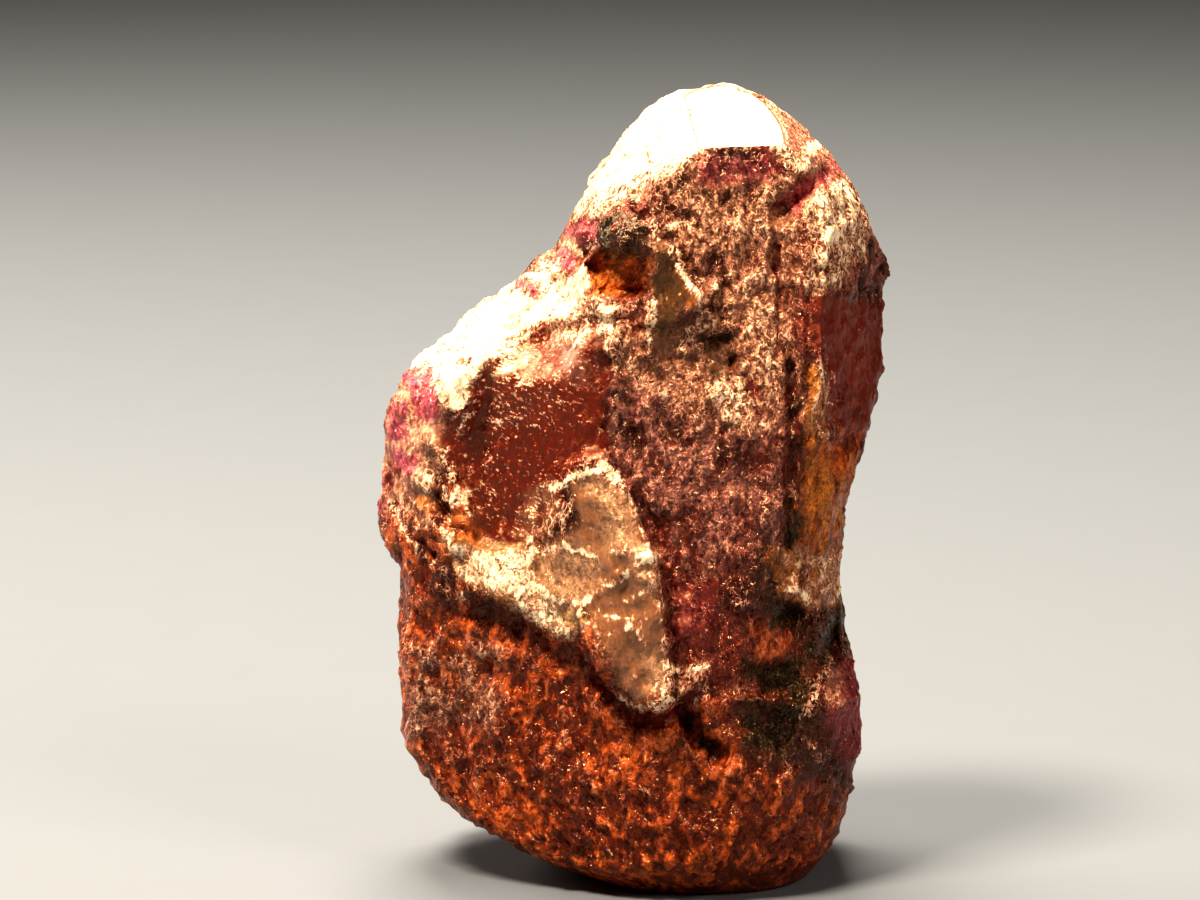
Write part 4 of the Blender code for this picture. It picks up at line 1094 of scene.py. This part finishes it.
# sizes of the skin's finest grain in mm: its crinkles, flakes and silky needles, and its depth
CRINKLE_SIZE = 0.11
FLAKE_SIZE = 0.07
SILK_SIZE = 0.045
CRINKLE_DEPTH = 0.03
# the grain is longer than wide: upright on the column, slanting down to the right in the windows
UPRIGHT = (1.0, 1.0, 0.75)
SILK_SLANT = math.radians(16)
SILK_STRETCH = (8.0, 1.0, 1.0)
# how much rougher than smooth places the rest of the skin is, in bump and in the flakes' lean
UNEVEN = 0.9
# which part of each noise counts
CRINKLE_SPAN = (0.30, 0.70)
WIRE_SPAN = (0.10, 0.0)
SILK_SPAN = (0.46, 0.68)
# the body's colour: its least share, what the crinkles and the wiry crests add as painted highlight,
# and its most
BODY_LEAST, BODY_CRINKLE, BODY_WIRE = 0.42, 0.75, 0.65
BRIGHTEST = (0.95, 0.95, 0.95)
# roughness of bare, frosted, smooth and silky skin
ROUGH_BARE, ROUGH_FROSTED, ROUGH_SMOOTH, ROUGH_SILKY = 0.16, 0.26, 0.10, 0.42

# frosting, with painted glints: what the crinkles, the wiry crests, the flakes and the needles add,
# what the sum has to pass, the excess over which it sets in, and its colours from thin to thick
FLECK_CRINKLE, FLECK_WIRE, FLECK_CHANCE, FLECK_SILK = 0.34, 0.46, 0.08, 0.50
FLECK_PASS = 0.88
FROST_SPAN = (-0.10, 0.30)
TAN = (0.29, 0.115, 0.086)
PINK_SPAN = (0.05, 0.32)
PINK_GOLD = (0.64, 0.33, 0.23)
CREAM_SPAN = (0.25, 0.60)
CREAM_FROST_AND_GLINT = (1.00, 0.82, 0.60)

# the clear stone: high refraction, warm glints, and an inside that lets red light through
IOR = 1.75
GLINT_LEVEL = 0.33
GLINT = (1.0, 0.74, 0.52)
INSIDE = (0.80, 0.10, 0.20)
INSIDE_DENSITY = 700.0


def alexandrite():
    """Garnet chrysoberyl under warm light: clear red inside, with etched and frosted places on its
    skin that carry painted highlights and glints, places painted with the glow of light coming
    through, glints on its micro faces and dark olive hollows, partly painted shade."""
    s = Shade("alexandrite")
    skin_node = s.add("ShaderNodeAttribute", attribute_name="skin")
    skin, silky = skin_node.outputs["Color"], skin_node.outputs["Alpha"]
    feel = s.add("ShaderNodeAttribute", attribute_name="feel").outputs["Vector"]
    frosting_and_highlight, clear, smooth = s.add("ShaderNodeSeparateXYZ", {"Vector": feel}).outputs
    upright = s.add("ShaderNodeMapping", {"Vector": s.place, "Scale": UPRIGHT}).outputs["Vector"]
    combed = s.add("ShaderNodeMapping", {
        "Vector": s.place, "Rotation": (0.0, SILK_SLANT, 0.0), "Scale": SILK_STRETCH,
    }, vector_type="TEXTURE").outputs["Vector"]
    silk = s.noise(combed, SILK_SIZE, detail=2.0, rough=0.5, twist=0.4)["Fac"]
    grain = s.noise(upright, CRINKLE_SIZE, detail=3.0, rough=0.62, twist=0.6)
    crinkle = s.stretch(grain["Fac"], *CRINKLE_SPAN)
    wire = s.add("ShaderNodeSeparateColor", {"Color": grain["Color"]}).outputs[1]
    wire = s.stretch(s.math("ABSOLUTE", s.math("SUBTRACT", wire, 0.5)), *WIRE_SPAN)
    flake = s.add("ShaderNodeTexVoronoi", {
        "Vector": upright, "Scale": 1 / (FLAKE_SIZE * MM)}).outputs["Color"]
    chance = s.add("ShaderNodeSeparateColor", {"Color": flake}).outputs[0]

    # a clear skin sends back little, so its own colour is raised by what goes in
    raised = s.math("DIVIDE", 1.0, s.math("SUBTRACT", 1.0, clear))
    # the crinkles' high parts and wiry crests are painted lighter, a painted highlight
    lit_crinkle = s.math("MULTIPLY_ADD", crinkle, BODY_CRINKLE, BODY_LEAST)
    lit_crinkle = s.math("MULTIPLY_ADD", wire, BODY_WIRE, lit_crinkle)
    depth = s.math("MULTIPLY", raised, s.blend(smooth, lit_crinkle, 1.0))
    body = s.vector("MINIMUM", s.vector("SCALE", skin, scale=depth), BRIGHTEST)

    # frosting and painted glints grow with the crinkle, its wiry crests and the flakes: tan at first and
    # then cream
    fleck = s.math("MULTIPLY_ADD", crinkle, FLECK_CRINKLE, s.math("MULTIPLY", chance, FLECK_CHANCE))
    fleck = s.math("MULTIPLY_ADD", wire, FLECK_WIRE, fleck)
    needles = s.math("MULTIPLY", silky, s.stretch(silk, *SILK_SPAN))
    excess = s.math("ADD", fleck, s.math("SUBTRACT", frosting_and_highlight, FLECK_PASS))
    excess = s.math("MULTIPLY_ADD", needles, FLECK_SILK, excess)
    frost_and_highlight = s.stretch(excess, *FROST_SPAN)
    frost_and_glint_colour = s.mix(s.stretch(excess, *PINK_SPAN), TAN, PINK_GOLD)
    frost_and_glint_colour = s.mix(s.stretch(excess, *CREAM_SPAN), frost_and_glint_colour, CREAM_FROST_AND_GLINT)
    s.put(s.mix(frost_and_highlight, body, frost_and_glint_colour), s.surface.inputs["Base Color"])
    clean = s.math("SUBTRACT", 1.0, frost_and_highlight)
    s.put(s.math("MULTIPLY", clear, clean), s.surface.inputs["Transmission Weight"])
    rough = s.blend(smooth, s.blend(frost_and_highlight, ROUGH_BARE, ROUGH_FROSTED), ROUGH_SMOOTH)
    s.put(s.blend(silky, rough, ROUGH_SILKY), s.surface.inputs["Roughness"])

    # micro faces: each flake leans its own way, least where the skin is smooth
    unevenness = s.blend(smooth, UNEVEN, 0.0)
    leaning = s.vector("SCALE", s.vector("SUBTRACT", flake, (0.5, 0.5, 0.5)), scale=unevenness)
    facing = s.vector("ADD", s.add("ShaderNodeNewGeometry").outputs["Normal"], leaning)
    facing = s.vector("NORMALIZE", facing)
    bump = s.add("ShaderNodeBump", {"Height": crinkle, "Strength": unevenness,
                                    "Distance": CRINKLE_DEPTH * MM, "Normal": facing})
    s.put(bump.outputs["Normal"], s.surface.inputs["Normal"])

    s.surface.inputs["IOR"].default_value = IOR
    s.surface.inputs["Specular IOR Level"].default_value = GLINT_LEVEL
    s.surface.inputs["Specular Tint"].default_value = (*GLINT, 1.0)
    inside = s.add("ShaderNodeVolumeAbsorption")
    inside.inputs["Color"].default_value = (*INSIDE, 1.0)
    inside.inputs["Density"].default_value = INSIDE_DENSITY
    s.links.new(inside.outputs["Volume"], s.out.inputs["Volume"])
    return s.material


# ---------------------------------------------------------------------------------------------
# Studio
# ---------------------------------------------------------------------------------------------

# lights: place, width and height in metres, watts, colour; all aim at the stone's middle
STONE_MIDDLE = (0.0, 0.0, 0.008)
LIGHTS = {
    "key": ((-0.010, 0.040, 0.160), (0.070, 0.090), 0.55, (1.0, 0.84, 0.62)),
    "back": ((-0.120, 0.080, 0.070), (0.060, 0.060), 0.16, (1.0, 0.86, 0.66)),
    "fill": ((0.085, -0.075, 0.090), (0.050, 0.050), 0.09, (1.0, 0.84, 0.62)),
    "rake": ((-0.052, -0.050, 0.142), (0.035, 0.035), 0.44, (1.0, 0.82, 0.58)),
}
ROOM = (0.62, 0.58, 0.55)
ROOM_STRENGTH = 0.06

# camera, in millimetres but for the nearest thing that it sees, which is in metres
LENS = 150.0
SENSOR = 36.0
CLIP_START = 0.002

# paper: its colour, how much darker its grain goes, the grain's size in mm, and its roughness
PAPER = (0.135, 0.158, 0.204)
PAPER_GRAIN = 0.97
PAPER_SIZE = 2.0
PAPER_ROUGHNESS = 0.8
# cove, in metres: a face closes it within the hub
COVE_HUB = 0.02
COVE_FLAT = 0.45
COVE_BEND = 0.20
COVE_WALL = 0.70
COVE_FLAT_STEPS = 5
COVE_BEND_STEPS = 16
COVE_SIDES = 96


def aimed(thing, place, target):
    """Put a light or camera at place, looking at target."""
    thing.location = place
    look = Vector(target) - Vector(place)
    thing.rotation_euler = look.to_track_quat("-Z", "Y").to_euler()
    bpy.context.scene.collection.objects.link(thing)


def softbox(name, place, target, size, watts, colour):
    """A soft light: an oblong that glows evenly, with its place, width and height in metres."""
    light = bpy.data.lights.new(name, "AREA")
    light.shape = "RECTANGLE"
    light.size, light.size_y = size
    light.energy = watts
    light.color = colour
    aimed(bpy.data.objects.new(name, light), place, target)


def paper():
    """Matt pale paper with a faint grain."""
    s = Shade("pale paper")
    darker = tuple(PAPER_GRAIN * part for part in PAPER)
    cloud = s.noise(s.place, PAPER_SIZE, detail=3.0, rough=0.55, twist=0.0)["Fac"]
    s.put(s.mix(cloud, PAPER, darker), s.surface.inputs["Base Color"])
    s.surface.inputs["Roughness"].default_value = PAPER_ROUGHNESS
    return s.material


def cove():
    """A pale round floor that curves up into a low wall all round: a profile turned about the
    vertical, flat out to its bend, then a quarter circle, then upright."""
    turn = np.linspace(0, math.pi / 2, COVE_BEND_STEPS + 1)
    edge = COVE_FLAT + COVE_BEND
    floor = np.linspace(COVE_HUB, COVE_FLAT, COVE_FLAT_STEPS + 1)[:-1]
    radius = np.concatenate([floor, COVE_FLAT + COVE_BEND * np.sin(turn), [edge]])
    height = np.concatenate([0 * floor, COVE_BEND * (1 - np.cos(turn)), [COVE_WALL]])
    around = np.linspace(0, 2 * math.pi, COVE_SIDES, endpoint=False)
    upright = np.broadcast_to(height[:, None], (len(radius), COVE_SIDES))
    out = radius[:, None]
    rings = np.stack([out * np.cos(around), out * np.sin(around), upright], axis=-1)
    here = np.arange(COVE_SIDES)
    following = (here + 1) % COVE_SIDES
    low = COVE_SIDES * np.arange(len(radius) - 1)[:, None]
    high = low + COVE_SIDES
    quads = np.stack([low + here, high + here, high + following, low + following], axis=-1)
    faces = [here.tolist()] + quads.reshape(-1, 4).tolist()
    mesh = bpy.data.meshes.new("cove")
    mesh.from_pydata(rings.reshape(-1, 3).tolist(), [], faces)
    mesh.shade_smooth()
    mesh.materials.append(paper())
    piece = bpy.data.objects.new("cove", mesh)
    bpy.context.scene.collection.objects.link(piece)


def studio():
    """The look of the picture, a faint room light, and the four soft lights."""
    scene = bpy.context.scene
    scene.view_settings.view_transform = "Standard"
    scene.view_settings.look = "High Contrast"
    world = bpy.data.worlds.new("room")
    world.use_nodes = True
    room = world.node_tree.nodes["Background"]
    room.inputs["Color"].default_value = (*ROOM, 1.0)
    room.inputs["Strength"].default_value = ROOM_STRENGTH
    scene.world = world
    for name, (place, size, watts, colour) in LIGHTS.items():
        softbox(name, place, STONE_MIDDLE, size, watts, colour)


def camera():
    """The camera stands in the front view's eye and looks at its centre."""
    data = bpy.data.cameras.new("camera")
    data.lens = LENS
    data.sensor_width = SENSOR
    data.clip_start = CLIP_START
    target = (np.array(EYE_CENTRE) - np.array([*MIDDLE, 0.0])) * MM
    place = target + direction(*VIEWS["front"]) * EYE_AWAY * MM
    eye = bpy.data.objects.new("camera", data)
    aimed(eye, tuple(place), tuple(target))
    bpy.context.scene.camera = eye


def main():
    """The stone in place of its CAD node, on its stage."""
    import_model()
    stone = crystal()
    stone.data.materials.append(alexandrite())
    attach(stone, "root")
    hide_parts(NODE)
    cove()
    studio()
    camera()


main()
